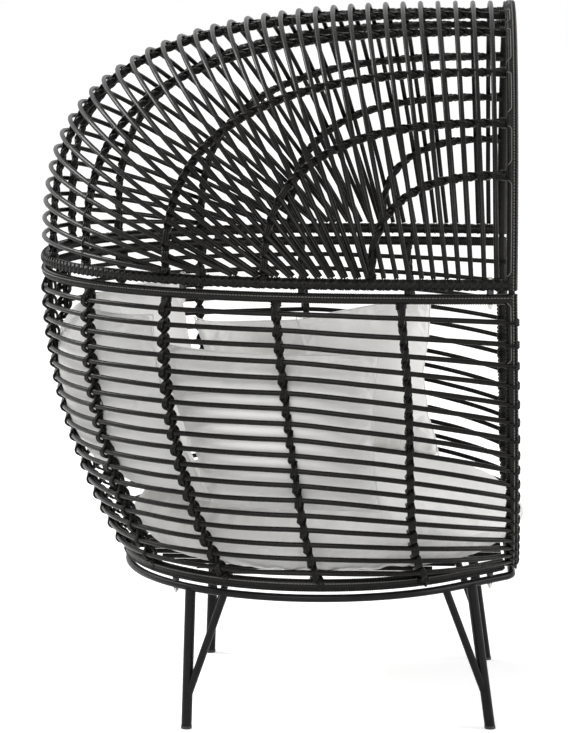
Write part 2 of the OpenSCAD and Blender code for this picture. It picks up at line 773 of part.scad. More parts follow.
// A stuffed form in a unit box: full sides, a crown, and an underside squared off by flat
function puff(around, levels, side_power, crown_power, flat, aspect = 1) =
  let (loop = unit_loop(around, side_power, aspect))
  [for (j = [0:levels])
    let (
      v = -90 + 180 * (j + 0.35) / (levels + 0.7),
      r = pow(cos(v), crown_power),
      c = sin(v) < 0 ? -pow(-sin(v), flat) : pow(sin(v), crown_power + 0.35)
    ) for (p = loop) [r * p[0], r * p[1], c]];
module puff_solid(points, around, levels) {
  walls = [for (j = [0:levels - 1], k = [0:around - 1])
    let (a = j * around + k, b = j * around + (k + 1) % around)
    for (f = [[a, a + around, b], [b, a + around, b + around]]) f];
  half = around / 2;
  top = levels * around;
  caps = [for (k = [0:half - 1])
    let (m = around - k - 1, n = (around - k) % around)
    for (f = [[k, k + 1, m], [k, m, n]])
      if (f[0] != f[2] && f[1] != f[2])
        for (g = [f, [top + f[0], top + f[2], top + f[1]]]) g];
  polyhedron(points, concat(walls, caps));
}

cushion_around = 28;
seat_around = 36;
cushion_levels = 9;
seat_low = floor_z + cane_r + seat_clear;
seat_top = seat_low + seat_h;
seat_half = ring_r - rib_r - 2;
seat_back = ring_r;
seat_front = ring_back + seat_nose;
seat_waist = 0.42;

module seat_cushion() {
  unit_points = puff(seat_around, cushion_levels, 0.98, 0.42, 0.5);
  points = [for (p = unit_points)
    [p[0] * seat_half,
     ring_y + p[1] * (p[1] > 0 ? seat_back : seat_front),
     seat_low + seat_h * (p[2] < 0 ? seat_waist * (1 + p[2]) : mix(seat_waist, 1, p[2]))]];
  color(fabric_colour)
    puff_solid(points, seat_around, cushion_levels);
}

// A cushion that stands against the basket wall from share w0 round it to share front[0]
// at its foot and front[1] at its top
function leaned(points, w0, front, low, high, near, thick) =
  [for (p = points)
    let (rise = (p[2] + 1) / 2, w1 = mix(front[0], front[1], rise))
    wall(drop(mix(low, high, rise)), mix(w0, w1, (p[0] + 1) / 2), -(near + thick * (1 - p[1]) / 2))];

cushion_near = rib_r + rib_inset;
// The faces of a cushion are chords of the round wall, so these bring each to its neighbour
back_closer = 0.7;
pillow_closer = 3.6;
module wall_cushion(w0, front, high, near, thick) {
  points = leaned(puff(cushion_around, cushion_levels, 0.62, 0.4, 0.55, 4),
                  w0, front, seat_top + 0.5, seat_top + high, near, thick);
  color(fabric_colour)
    puff_solid(points, cushion_around, cushion_levels);
}

back_share = 0.455;
side_front_shares = [0.78, 0.86];
pillow_rear_share = 0.665;
pillow_front_shares = [0.915, 0.905];
module back_cushion() {
  wall_cushion(-back_share, [back_share, back_share], back_h, cushion_near - back_closer, back_t);
}

module side_cushion(side) {
  on_side(side)
    wall_cushion(back_share + 0.01, side_front_shares, side < 0 ? side_left_h : side_right_h,
                 cushion_near, side_t);
}

module pillow() {
  wall_cushion(pillow_rear_share, pillow_front_shares, pillow_h, cushion_near + side_t - pillow_closer,
               pillow_t);
}

base_ring();
leg(true, -1);  // leg_rear_left
leg(true, 1);  // leg_rear_right
leg(false, -1);  // leg_front_left
leg(false, 1);  // leg_front_right
strut(true, -1);  // strut_rear_left
strut(true, 1);  // strut_rear_right
strut(false, -1);  // strut_front_left
strut(false, 1);  // strut_front_right
foot(true, -1);  // foot_rear_left
foot(true, 1);  // foot_rear_right
foot(false, -1);  // foot_front_left
foot(false, 1);  // foot_front_right
base_spacers();
base_bolts();
base_nuts();
basket_ring();
front_frame();
basket_rim();
rib(0, -1);  // rib_1_left
rib(1, -1);  // rib_2_left
rib(2, -1);  // rib_3_left
rib(3, -1);  // rib_4_left
rib(4, -1);  // rib_5_left
rib(0, 1);  // rib_1_right
rib(1, 1);  // rib_2_right
rib(2, 1);  // rib_3_right
rib(3, 1);  // rib_4_right
rib(4, 1);  // rib_5_right
basket_canes_upper();
basket_canes_middle();
basket_canes_lower();
floor_bars();
floor_canes();
hood_rim();
hood_arch();
hood_rib_tube(0, -1);  // hood_rib_1_left
hood_rib_tube(1, -1);  // hood_rib_2_left
hood_rib_tube(2, -1);  // hood_rib_3_left
hood_rib_tube(3, -1);  // hood_rib_4_left
hood_rib_tube(4, -1);  // hood_rib_5_left
hood_rib_tube(0, 1);  // hood_rib_1_right
hood_rib_tube(1, 1);  // hood_rib_2_right
hood_rib_tube(2, 1);  // hood_rib_3_right
hood_rib_tube(3, 1);  // hood_rib_4_right
hood_rib_tube(4, 1);  // hood_rib_5_right
hood_canes_front();
hood_canes_middle();
hood_canes_rear();
rim_spacers();
rim_ties();
rim_bolts();
rim_nuts();
seat_cushion();
back_cushion();
side_cushion(-1);  // side_cushion_left
side_cushion(1);  // side_cushion_right
pillow();
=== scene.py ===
"""Looks of the cocoon lounge chair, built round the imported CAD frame.

The shell's surfaces follow the same formulas as part.scad. Sizes here are in
millimetres, and a mesh is turned into metres when it is made.
"""
import math

import bmesh
import bpy
import numpy as np
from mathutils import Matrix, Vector
from mathutils.kdtree import KDTree


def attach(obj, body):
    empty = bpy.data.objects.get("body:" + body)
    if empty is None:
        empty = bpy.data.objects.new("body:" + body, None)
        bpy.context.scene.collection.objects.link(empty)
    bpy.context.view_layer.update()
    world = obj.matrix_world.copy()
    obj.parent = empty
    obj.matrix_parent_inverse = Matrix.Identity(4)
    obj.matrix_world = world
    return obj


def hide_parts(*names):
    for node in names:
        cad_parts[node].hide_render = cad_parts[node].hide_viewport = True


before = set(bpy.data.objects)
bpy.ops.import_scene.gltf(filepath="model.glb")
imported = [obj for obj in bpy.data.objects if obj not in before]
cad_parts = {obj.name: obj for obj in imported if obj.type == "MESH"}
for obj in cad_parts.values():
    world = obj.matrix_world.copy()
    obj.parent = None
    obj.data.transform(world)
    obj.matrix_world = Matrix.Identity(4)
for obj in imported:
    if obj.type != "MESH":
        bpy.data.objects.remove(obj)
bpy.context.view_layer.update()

# ---------------------------------------------------------------- sizes
# These repeat the named sizes of part.scad. A name that ends in _R is a radius.
SHELL_W, SHELL_D, WIDEST_BACK, POST_INSET = 1054.0, 984.0, 250.0, 11.0
BASKET_RIM_Z, RIM_GAP, HOOD_H = 935.0, 10.0, 528.0
CANE_R, RIB_R, RIM_R, FRAME_R, ARCH_R = 5.0, 6.5, 10.0, 12.0, 12.0
RIB_INSET, WEAVE_CLEAR = 6.0, 0.4
BASKET_CANES, FRONT_SAG, WALL_CURVE = 18, 0.48, 2.03
HOOD_CANES, UPRIGHT_CANES, PAIR_STEP = 34, 10, 6.0
FIRST_CANE, FIRST_TOP, LAST_TOP, UPRIGHT_STEP, FAN_LENGTH = 30.0, 40.0, 44.0, 24.6, 436.0
BASE_RING_Z, RING_R, RING_BACK, RING_AHEAD, CORNER_X = 303.0, 415.0, 398.0, 15.0, 177.0
TUBE_R, BASE_GAP = 8.0, 7.0
# Clearance at joints between wrapped tubes, canes, ribs and the seat
SEAT_CLEAR = 0.3
# How far the seat cushion bulges ahead of the front posts
SEAT_NOSE = 52.0
CANE_OUT = RIB_R + CANE_R + WEAVE_CLEAR - RIB_INSET

FRONT_Y = -(SHELL_D + CANE_OUT + CANE_R - SEAT_NOSE) / 2
BACK_Y = FRONT_Y + SHELL_D
WIDEST_Y = FRONT_Y + WIDEST_BACK
HALF_W = SHELL_W / 2
POST_HALF = HALF_W - POST_INSET
RING_Y = FRONT_Y + RING_BACK
CORNER_Y = FRONT_Y - RING_AHEAD
BASKET_RING_Z = BASE_RING_Z + 2 * TUBE_R + BASE_GAP
BASKET_H = BASKET_RIM_Z - BASKET_RING_Z
HOOD_RIM_Z = BASKET_RIM_Z + 2 * RIM_R + RIM_GAP
POST_DROP = (HOOD_RIM_Z - BASKET_RING_Z) / math.sqrt(1 - (CORNER_X / POST_HALF) ** 2)
RIM_POWER, BASE_POWER, HOOD_POWER = 2.2, 2.0, 3.0
# Places of the ribs as shares of the way from the middle of the back to a front post, at the rim
# and at the base, and how late each turns from one to the other on its way down
RIB_RIM = [0.115, 0.345, 0.54, 0.73, 0.89]
RIB_BASE = [0.065, 0.235, 0.425, 0.60, 0.78]
RIB_LATE = [1.0, 1.0, 1.0, 1.7, 1.5]
# Front ends of the hood ribs, as shares of the half opening, and their rear ends, as shares of
# the depth of the shell
HOOD_FRONT = [0.195, 0.39, 0.63, 0.805, 0.915]
HOOD_DEPTH = [0.975, 0.887, 0.707, 0.50, 0.283]
HOOD_RIB_POWER = [3.3, 3.0, 2.8, 2.8, 2.8]
rng = np.random.default_rng(11)


def up(x, n):
    return max(x, 0.0) ** n


def mix(a, b, t):
    return a + (b - a) * t


def sind(a):
    return math.sin(math.radians(a))


def cosd(a):
    return math.cos(math.radians(a))


def acosd(x):
    return math.degrees(math.acos(max(-1.0, min(1.0, x))))


# ---------------------------------------------------------------- the shell
def drop(z):
    return (BASKET_RIM_Z - z) / BASKET_H


def level(f):
    return BASKET_RIM_Z - f * BASKET_H


def plan_half(f):
    return HALF_W - (HALF_W - RING_R) * up(f, WALL_CURVE)


def plan_back(f):
    return BACK_Y - (BACK_Y - RING_Y - RING_R) * up(f, WALL_CURVE)


def plan_mid(f):
    return mix(WIDEST_Y, RING_Y, f)


def plan_power(f):
    return mix(RIM_POWER, BASE_POWER, f)


def plan_front(f):
    return mix(FRONT_Y, CORNER_Y, f)


def post_x(z):
    return POST_HALF * math.sqrt(max(0.0, 1 - ((HOOD_RIM_Z - z) / POST_DROP) ** 2))


def front_span(half, reach, x, n):
    return reach / up(1 - (x / half) ** n, 1 / n)


def front_reach(f):
    return front_span(plan_half(f), plan_mid(f) - plan_front(f), post_x(level(f)), plan_power(f))


def post_angle(f):
    return 180 - acosd(up((plan_mid(f) - plan_front(f)) / front_reach(f), plan_power(f) / 2))


def wall_slope(f, a):
    lean = (BACK_Y - RING_Y - RING_R) * abs(cosd(a)) + (HALF_W - RING_R) * abs(sind(a))
    return WALL_CURVE * up(f, WALL_CURVE - 1) / BASKET_H * lean


def wall(f, w, off=0.0):
    """A point of the basket wall at drop f, share w of the way round, moved outwards by off."""
    n = plan_power(f)
    a = abs(w) * post_angle(f)
    behind = a < 90
    ax = plan_half(f)
    ay = plan_back(f) - plan_mid(f) if behind else front_reach(f)
    sign = 1 if behind else -1
    x = ax * up(sind(a), 2 / n)
    y = sign * ay * up(abs(cosd(a)), 2 / n)
    nx = up(x / ax, n - 1) / ax
    ny = sign * up(abs(y) / ay, n - 1) / ay
    m = off * math.sqrt(1 + wall_slope(f, a) ** 2) / math.hypot(nx, ny)
    side = -1 if w < 0 else 1
    return np.array([side * (x + m * nx), plan_mid(f) + y + m * ny, level(f)])


def rib_share(j, f):
    return mix(RIB_RIM[j], RIB_BASE[j], up(f, RIB_LATE[j]))


def cane_drop(t, w):
    start = rib_share(3, t)
    s = max(0.0, (abs(w) - start) / (1 - start))
    return t + FRONT_SAG * s ** 1.5 * t * (1 - t)


def rim_half(y, off=0.0):
    if y > WIDEST_Y:
        a = BACK_Y - WIDEST_Y + off
    else:
        a = front_span(HALF_W + off, WIDEST_BACK, POST_HALF + off, RIM_POWER)
    return (HALF_W + off) * up(1 - (abs(y - WIDEST_Y) / a) ** RIM_POWER, 1 / RIM_POWER)


def ridge(y, off=0.0):
    return (HOOD_H + off) * up(1 - (max(0.0, y - FRONT_Y) / (SHELL_D + off)) ** HOOD_POWER, 1 / HOOD_POWER)


def dome(y, z, off=0.0):
    """A point of the hood on the +X side, z above the hood rim, moved outwards by off."""
    h = ridge(y, off)
    x = rim_half(y, off) * math.sqrt(max(0.0, 1 - (z / h) ** 2)) if h > 0.01 else 0.0
    return np.array([x, y, HOOD_RIM_Z + z])


RIDGE_ANGLES = np.arange(0, 90.5, 0.5)
RIDGE = np.array([[FRONT_Y + (SHELL_D + CANE_OUT) * up(sind(t), 2 / HOOD_POWER),
                   (HOOD_H + CANE_OUT) * up(cosd(t), 2 / HOOD_POWER)] for t in RIDGE_ANGLES])
RIDGE_RUN = np.concatenate([[0], np.cumsum(np.linalg.norm(np.diff(RIDGE, axis=0), axis=1))])


def ridge_point(m):
    s = mix(FIRST_TOP, RIDGE_RUN[-1] - LAST_TOP, m / (HOOD_CANES - 1))
    return np.array([np.interp(s, RIDGE_RUN, RIDGE[:, 0]), np.interp(s, RIDGE_RUN, RIDGE[:, 1])])


def second_of_pair(m):
    return 0 if m < UPRIGHT_CANES else (m - UPRIGHT_CANES) % 2


def cane_foot(m):
    if m < UPRIGHT_CANES:
        return FIRST_CANE + m * UPRIGHT_STEP
    t = (m - UPRIGHT_CANES - second_of_pair(m) + 2) / (HOOD_CANES - UPRIGHT_CANES)
    fan = FAN_LENGTH * (0.68 * t + 0.32 * t ** 6)
    step = second_of_pair(m) * PAIR_STEP * (1 + (m / HOOD_CANES) ** 8)
    return FIRST_CANE + (UPRIGHT_CANES - 1) * UPRIGHT_STEP + step + fan


def cane_end_z(m):
    """Height over the rim of a hood cane's end, which stops on the rim's polygon."""
    lean = ridge_point(m) - (FRONT_Y + cane_foot(m), RIM_R)
    c = lean[0] / np.linalg.norm(lean)
    reach = RIM_R * math.sqrt(math.pi / (8 * sind(22.5) * cosd(22.5))) + SEAT_CLEAR + CANE_R * c
    return math.sqrt(reach ** 2 - (CANE_OUT - CANE_R * (1 - c)) ** 2)


def cane_ends(m):
    return np.array([FRONT_Y + cane_foot(m), cane_end_z(m)]), ridge_point(m)


# How far the second cane of a pair is lifted at the rim
PAIR_LIFT = 2.08 * CANE_R


def lifted(m, q):
    """Near the rim the second cane of a pair lies on top of the first."""
    return second_of_pair(m) * PAIR_LIFT * up(1 - q * q, 3)


def hood_cane_point(m, q):
    foot, top = cane_ends(m)
    p = foot + (top - foot) * q
    if q >= 1:
        return np.array([0.0, top[0], HOOD_RIM_Z + top[1]])
    return dome(p[0], p[1], CANE_OUT + lifted(m, q))


def rib_depth(j, off):
    return HOOD_DEPTH[j] * (SHELL_D + off)


def rib_top(j, off):
    return (HOOD_H + off) * math.sqrt(1 - HOOD_FRONT[j] ** 2)


def past_rib(j, p):
    n = HOOD_RIB_POWER[j]
    return up((p[0] - FRONT_Y) / rib_depth(j, CANE_OUT), n) + up(p[1] / rib_top(j, CANE_OUT), n) - 1


# ---------------------------------------------------------------- meshes
def unit(v):
    return v / np.maximum(np.linalg.norm(v, axis=-1, keepdims=True), 1e-9)


def run_of(path):
    return np.concatenate([[0], np.cumsum(np.linalg.norm(np.diff(path, axis=0), axis=1))])


def resample(path, step, *others):
    """The path at even steps, and any other columns with it."""
    path = np.asarray(path, float)
    run = run_of(path)
    s = np.linspace(0, run[-1], max(2, int(round(run[-1] / step)) + 1))
    out = [np.stack([np.interp(s, run, path[:, k]) for k in range(3)], 1)]
    for o in others:
        o = np.asarray(o, float)
        o = o[:, None] if o.ndim == 1 else o
        out.append(np.stack([np.interp(s, run, o[:, k]) for k in range(o.shape[1])], 1))
    return out[0] if not others else out


def tangents(path, closed=False):
    if closed:
        return unit(np.roll(path, -1, 0) - np.roll(path, 1, 0))
    return unit(np.gradient(path, axis=0))


def carried(path, t):
    """A normal carried along the path without twist."""
    n = np.zeros_like(path)
    ref = np.eye(3)[int(np.argmin(np.abs(t[0])))]
    n[0] = unit(ref - (ref @ t[0]) * t[0])
    for i in range(1, len(path)):
        v = n[i - 1] - (n[i - 1] @ t[i]) * t[i]
        n[i] = v / np.linalg.norm(v)
    return n


class Mesh:
    """Gathers swept tubes and makes one object of them."""

    def __init__(self):
        self.verts, self.faces, self.runs, self.count = [], [], [], 0

    def tube(self, path, r, sides=8, closed=False, normals=None, groove=None, flat=1.0):
        """A swept tube. groove(run, angle) scales the radius, and flat squashes it along the normal."""
        path = np.asarray(path, float)
        t = tangents(path, closed)
        if normals is None:
            n = carried(path, t)
        else:
            n = np.asarray(normals, float)
            n = unit(n - np.sum(n * t, 1, keepdims=True) * t)
        b = np.cross(t, n)
        run = run_of(path)
        ang = np.linspace(0, 2 * math.pi, sides, endpoint=False)
        rad = np.broadcast_to(np.asarray(r, float).reshape(-1, 1), (len(path), sides)).copy()
        if groove is not None:
            rad = rad * groove(run[:, None], ang[None, :])
        ring = path[:, None, :] + rad[..., None] * (
            flat * np.cos(ang)[None, :, None] * n[:, None, :] + np.sin(ang)[None, :, None] * b[:, None, :])
        self.add_rings(ring, run, closed)

    def add_rings(self, ring, run, closed):
        """Joins the rings of a tube with faces, and closes its ends if it has any."""
        rows, sides = ring.shape[:2]
        base = self.count
        self.verts.append(ring.reshape(-1, 3))
        self.count += rows * sides
        i = np.arange(rows if closed else rows - 1)
        k = np.arange(sides)
        here = i[:, None] * sides
        ahead = ((i[:, None] + 1) % rows) * sides
        beside = (k + 1) % sides
        quad = np.stack([here + k, here + beside, ahead + beside, ahead + k], -1)
        self.faces.extend((quad.reshape(-1, 4) + base).tolist())
        u0 = np.broadcast_to(run[i][:, None], (len(i), sides))
        last = run[-1] + np.linalg.norm(ring[0, 0] - ring[-1, 0]) if closed else run[-1]
        u1 = np.broadcast_to(np.append(run, last)[i + 1][:, None], (len(i), sides))
        v0 = np.broadcast_to((k / sides)[None, :], (len(i), sides))
        v1 = v0 + 1 / sides
        corner = np.stack([np.stack([u0, v0], -1), np.stack([u0, v1], -1),
                           np.stack([u1, v1], -1), np.stack([u1, v0], -1)], 2).reshape(-1, 2)
        self.runs.append(corner)
        if not closed:
            for row, order in ((0, k[::-1]), (rows - 1, k)):
                self.faces.append((base + row * sides + order).tolist())
                self.runs.append(np.stack([np.full(sides, run[row]), order / sides], -1))

    def make(self, name, material, slot, *nodes):
        me = bpy.data.meshes.new(name)
        me.from_pydata((np.concatenate(self.verts) * 0.001).tolist(), [], self.faces)
        run = np.concatenate(self.runs)
        layer = me.attributes.new("run", "FLOAT_VECTOR", "CORNER")
        vectors = np.c_[run[:, 0] * 0.001, run[:, 1], np.zeros(len(run))]
        layer.data.foreach_set("vector", vectors.astype(np.float32).ravel())
        me.polygons.foreach_set("use_smooth", [True] * len(me.polygons))
        me.materials.append(material)
        me.update()
        placed(bpy.data.objects.new(name, me), slot, *nodes)


def placed(ob, slot, *nodes):
    """Links an object, lets it ride on the body and hides the nodes it replaces; its slot is not used."""
    if ob.name not in bpy.context.scene.collection.objects:
        bpy.context.scene.collection.objects.link(ob)
    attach(ob, "root")
    if nodes:
        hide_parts(*nodes)


# ---------------------------------------------------------------- materials
class Nodes:
    """A material's node tree, with short calls for its nodes and links."""

    def __init__(self, name):
        self.mat = bpy.data.materials.new(name)
        self.mat.use_nodes = True
        self.tree = self.mat.node_tree
        self.bsdf = self.tree.nodes["Principled BSDF"]

    def link(self, value, socket):
        if isinstance(value, bpy.types.NodeSocket):
            self.tree.links.new(value, socket)
        else:
            socket.default_value = value

    def math(self, operation, a, b=0.0):
        node = self.tree.nodes.new("ShaderNodeMath")
        node.operation = operation
        for i, value in enumerate((a, b)):
            self.link(value, node.inputs[i])
        return node.outputs[0]

    def remap(self, value, a, b, c, d):
        node = self.tree.nodes.new("ShaderNodeMapRange")
        for i, v in enumerate((value, a, b, c, d)):
            self.link(v, node.inputs[i])
        return node.outputs[0]

    def blend(self, factor, a, b):
        node = self.tree.nodes.new("ShaderNodeMix")
        node.data_type = "RGBA"
        for socket, value in ((node.inputs[0], factor), (node.inputs[6], a), (node.inputs[7], b)):
            self.link(value, socket)
        return node.outputs[2]

    def noise(self, vector, scale, detail=3.0, rough=0.5):
        node = self.tree.nodes.new("ShaderNodeTexNoise")
        self.link(vector, node.inputs["Vector"])
        self.link(scale, node.inputs["Scale"])
        self.link(detail, node.inputs["Detail"])
        self.link(rough, node.inputs["Roughness"])
        return node.outputs["Fac"]

    def scaled(self, vector, xyz):
        node = self.tree.nodes.new("ShaderNodeVectorMath")
        node.operation = "MULTIPLY"
        self.link(vector, node.inputs[0])
        self.link(xyz, node.inputs[1])
        return node.outputs[0]

    def object_place(self):
        return self.tree.nodes.new("ShaderNodeTexCoord").outputs["Object"]

    def run(self):
        node = self.tree.nodes.new("ShaderNodeAttribute")
        node.attribute_name = "run"
        return node.outputs["Vector"]

    def bump(self, height, distance, strength=1.0, normal=None):
        node = self.tree.nodes.new("ShaderNodeBump")
        node.inputs["Strength"].default_value = strength
        node.inputs["Distance"].default_value = distance
        self.link(height, node.inputs["Height"])
        if normal is not None:
            self.link(normal, node.inputs["Normal"])
        return node.outputs[0]

    def finish(self, color, roughness, normal=None, **fixed):
        self.link(color, self.bsdf.inputs["Base Color"])
        self.link(roughness, self.bsdf.inputs["Roughness"])
        if normal is not None:
            self.link(normal, self.bsdf.inputs["Normal"])
        for key, value in fixed.items():
            self.bsdf.inputs[key.replace("_", " ")].default_value = value
        return self.mat


def cane_material(name, dark, light, rough, level):
    """Extruded cane: fine streaks along its length, soft wear and a slow change of tone."""
    n = Nodes(name)
    place, run = n.object_place(), n.run()
    streaks = n.noise(n.scaled(run, (14.0, 26.0, 1.0)), 1.0, 4.0, 0.6)
    tone = n.noise(place, 7.0, 3.0)
    scuff = n.noise(place, 160.0, 4.0, 0.65)
    mixed = n.math("ADD", n.math("MULTIPLY", streaks, 0.55), n.math("MULTIPLY", tone, 0.45))
    color = n.blend(n.remap(mixed, 0.36, 0.66, 0.0, 1.0), dark, light)
    worn = n.remap(scuff, 0.62, 0.78, 0.0, 0.35)
    color = n.blend(worn, color, (light[0] * 2.1, light[1] * 2.0, light[2] * 1.9, 1.0))
    roughness = n.math("ADD", rough, n.remap(scuff, 0.3, 0.7, -0.06, 0.10))
    fine = n.bump(n.noise(n.scaled(run, (30.0, 40.0, 1.0)), 1.0, 3.0), 0.0006, 0.35)
    normal = n.bump(n.noise(place, 90.0, 2.0), 0.0015, 0.25, fine)
    return n.finish(color, roughness, normal, Specular_IOR_Level=level)


def steel_material():
    """Satin powder coat: a fine pebbled skin with faint scuffs."""
    n = Nodes("powder_coat")
    place = n.object_place()
    skin = n.noise(place, 900.0, 2.0)
    scuff = n.noise(place, 45.0, 5.0, 0.6)
    worn = n.remap(scuff, 0.35, 0.7, 0.0, 1.0)
    color = n.blend(worn, (0.0050, 0.0050, 0.0053, 1), (0.0095, 0.0092, 0.0090, 1))
    roughness = n.remap(scuff, 0.3, 0.75, 0.30, 0.44)
    return n.finish(color, roughness, n.bump(skin, 0.0004, 0.30), Specular_IOR_Level=0.12)


def zinc_material():
    """Zinc plate on bolts and nuts: a slow cloud of light and dull patches."""
    n = Nodes("zinc_plate")
    place = n.object_place()
    cloud = n.noise(place, 220.0, 4.0, 0.6)
    color = n.blend(cloud, (0.42, 0.42, 0.40, 1), (0.66, 0.66, 0.62, 1))
    return n.finish(color, n.remap(cloud, 0.3, 0.7, 0.28, 0.45), n.bump(cloud, 0.0003, 0.2), Metallic=1.0)


def cap_material():
    """Moulded black plastic with a fine grain."""
    n = Nodes("moulded_cap")
    place = n.object_place()
    grain = n.noise(place, 600.0, 3.0)
    color = n.blend(grain, (0.010, 0.010, 0.011, 1), (0.020, 0.020, 0.020, 1))
    return n.finish(color, n.remap(grain, 0.3, 0.7, 0.48, 0.62), n.bump(grain, 0.0003, 0.4))


# Distance between two threads of the cloth, in metres
THREAD_PITCH = 0.0014


def cloth_material():
    """Plain woven outdoor cloth: threads both ways, slubs, and soft uneven tone."""
    n = Nodes("canvas")
    place = n.object_place()
    parts = n.tree.nodes.new("ShaderNodeSeparateXYZ")
    n.link(place, parts.inputs[0])
    bend = n.tree.nodes.new("ShaderNodeNewGeometry")
    facing = n.tree.nodes.new("ShaderNodeSeparateXYZ")
    n.link(bend.outputs["Normal"], facing.inputs[0])
    x, y, z = (n.math("MULTIPLY", parts.outputs[i], 2 * math.pi / THREAD_PITCH) for i in range(3))
    level_share = n.remap(n.math("ABSOLUTE", facing.outputs[2]), 0.55, 0.8, 0.0, 1.0)
    side_share = n.remap(n.math("ABSOLUTE", facing.outputs[0]), 0.55, 0.8, 0.0, 1.0)
    along = n.math("ADD", n.math("MULTIPLY", n.math("SINE", y), side_share),
                   n.math("MULTIPLY", n.math("SINE", x), n.math("SUBTRACT", 1.0, side_share)))
    across = n.math("ADD", n.math("MULTIPLY", n.math("SINE", y), level_share),
                    n.math("MULTIPLY", n.math("SINE", z), n.math("SUBTRACT", 1.0, level_share)))
    weave = n.math("MULTIPLY", along, across)
    slub = n.noise(place, 420.0, 3.0, 0.6)
    tone = n.noise(place, 5.0, 3.0)
    height = n.math("ADD", n.math("MULTIPLY", weave, 0.5), n.math("MULTIPLY", slub, 0.8))
    color = n.blend(n.remap(tone, 0.35, 0.65, 0.0, 1.0), (0.80, 0.79, 0.772, 1), (0.87, 0.865, 0.85, 1))
    color = n.blend(n.remap(slub, 0.55, 0.75, 0.0, 0.25), color, (0.70, 0.685, 0.66, 1))
    crease = n.bump(n.noise(place, 26.0, 4.0, 0.55), 0.004, 0.35)
    normal = n.bump(height, 0.0004, 0.45, crease)
    return n.finish(color, n.remap(slub, 0.3, 0.7, 0.82, 0.95), normal,
                    Sheen_Weight=0.15, Sheen_Roughness=0.5, Specular_IOR_Level=0.25)


CANE = cane_material("cane", (0.0040, 0.0036, 0.0032, 1), (0.0085, 0.0074, 0.0063, 1), 0.28, 0.13)
CORD = cane_material("cord", (0.0035, 0.0032, 0.0029, 1), (0.0075, 0.0068, 0.0060, 1), 0.30, 0.14)
# Lacing colour, a painted highlight: a light grey cord whose rows of dots and thin lines stand in for the
# highlights on the dark cords where they cross
PAINTED_HIGHLIGHT_LACING = cane_material("painted_highlight_lacing", (0.085, 0.081, 0.076, 1), (0.15, 0.143, 0.134, 1), 0.36, 0.34)
STEEL, ZINC, CAP, CLOTH = steel_material(), zinc_material(), cap_material(), cloth_material()


# ---------------------------------------------------------------- camera
# Fitted to the photograph: focal length and frame height in pixels, sensor in millimetres
FOCAL_PX, FRAME_PX, SENSOR = 2953.0, 733.0, 36.0
CAMERA_FORWARD = (0.98700, 0.05290, -0.15200)
CAMERA_PLACE = (-6.300, (FRONT_Y + 139.0) / 1000, 1.688)


def set_camera():
    data = bpy.data.cameras.new("camera")
    data.sensor_width = SENSOR
    data.lens = SENSOR * FOCAL_PX / FRAME_PX
    data.clip_start, data.clip_end = 0.1, 100.0
    cam = bpy.data.objects.new("camera", data)
    bpy.context.scene.collection.objects.link(cam)
    cam.location = CAMERA_PLACE
    cam.rotation_mode = "QUATERNION"
    cam.rotation_quaternion = Vector(CAMERA_FORWARD).normalized().to_track_quat("-Z", "Y")
    bpy.context.scene.camera = cam


set_camera()


# ---------------------------------------------------------------- wrapped tubes
def winding(pitch, depth):
    """Round cords wound close together: a helical ridge pattern for a swept tube."""
    def groove(run, angle):
        x = (run / pitch - angle / (2 * math.pi)) % 1.0
        return 1 - depth * (1 - np.sqrt(np.clip(1 - (2 * x - 1) ** 2, 0, 1)))
    return groove


def beads(mesh, path, normals, angle, reach, r, pitch, swing):
    """A cord along a wrapped tube, which dips once every pitch."""
    path, normals = resample(path, pitch / 4, normals)
    t = tangents(path)
    n = unit(normals - np.sum(normals * t, 1, keepdims=True) * t)
    b = np.cross(t, n)
    run = run_of(path)[:, None]
    out = math.cos(angle) * n + math.sin(angle) * b
    lift = reach + swing * np.sin(2 * math.pi * run / pitch)
    mesh.tube(path + out * lift, r, 6, normals=out)


def painted_highlight_dots(painted_highlight_lacing, path, normals, angle, reach, swing=1.9):
    """A light grey lacing cord, of which only a row of dots shows: painted highlights where the cord crosses
    the winding.
    """
    beads(painted_highlight_lacing, path, normals, angle, reach, 1.2, 6.4, swing)


def coil(mesh, centre, axis, radius, turns, pitch, r):
    """Turns of cord wound round an axis at centre."""
    axis = unit(np.asarray(axis, float))
    ref = np.eye(3)[int(np.argmin(np.abs(axis)))]
    u = unit(ref - (ref @ axis) * axis)
    v = np.cross(axis, u)
    a = np.linspace(0, 2 * math.pi * turns, max(8, int(16 * turns)))
    s = (a / (2 * math.pi) - turns / 2) * pitch
    path = centre + s[:, None] * axis + radius * (np.cos(a)[:, None] * u + np.sin(a)[:, None] * v)
    mesh.tube(path, r, 6)


def both(build):
    """Runs build for the +X side and for its mirror image."""
    for side in (1, -1):
        build(side)


FLIP = np.array([-1.0, 1.0, 1.0])


def sided(points, side):
    return points if side > 0 else points * FLIP


# ---------------------------------------------------------------- canes
# Share of the way to a front post at which the basket canes stop
CANE_STOP = 0.9965


def smooth_noise(count, size, amount):
    """A slow random wander along a path."""
    knots = rng.normal(0, amount, size)
    return np.interp(np.linspace(0, size - 1, count), np.arange(size), knots)


def basket_cane(i):
    t = i / (BASKET_CANES + 1)
    w = np.linspace(-CANE_STOP, CANE_STOP, 150)
    path = np.array([wall(cane_drop(t, x), x, CANE_OUT) for x in w])
    path[:, 2] += smooth_noise(len(w), 22, 0.7)
    return path


def cane_group(name, node, numbers, maker):
    """The canes of one node, with a radius 0.2 mm larger than in the CAD, so that they cover it."""
    mesh = Mesh()
    for m in numbers:
        mesh.tube(resample(maker(m), 9.0), CANE_R + 0.2, 10)
    mesh.make(name, CANE, "cane", node)


def hood_cane(m):
    q = np.sin(np.radians(np.linspace(0, 90, 40)))
    half = np.array([hood_cane_point(m, x) for x in q])
    half[:-1, 1] += smooth_noise(len(q) - 1, 7, 0.8) * (1 - q[:-1]) * 0.8
    return np.concatenate([half, (half * FLIP)[-2::-1]])


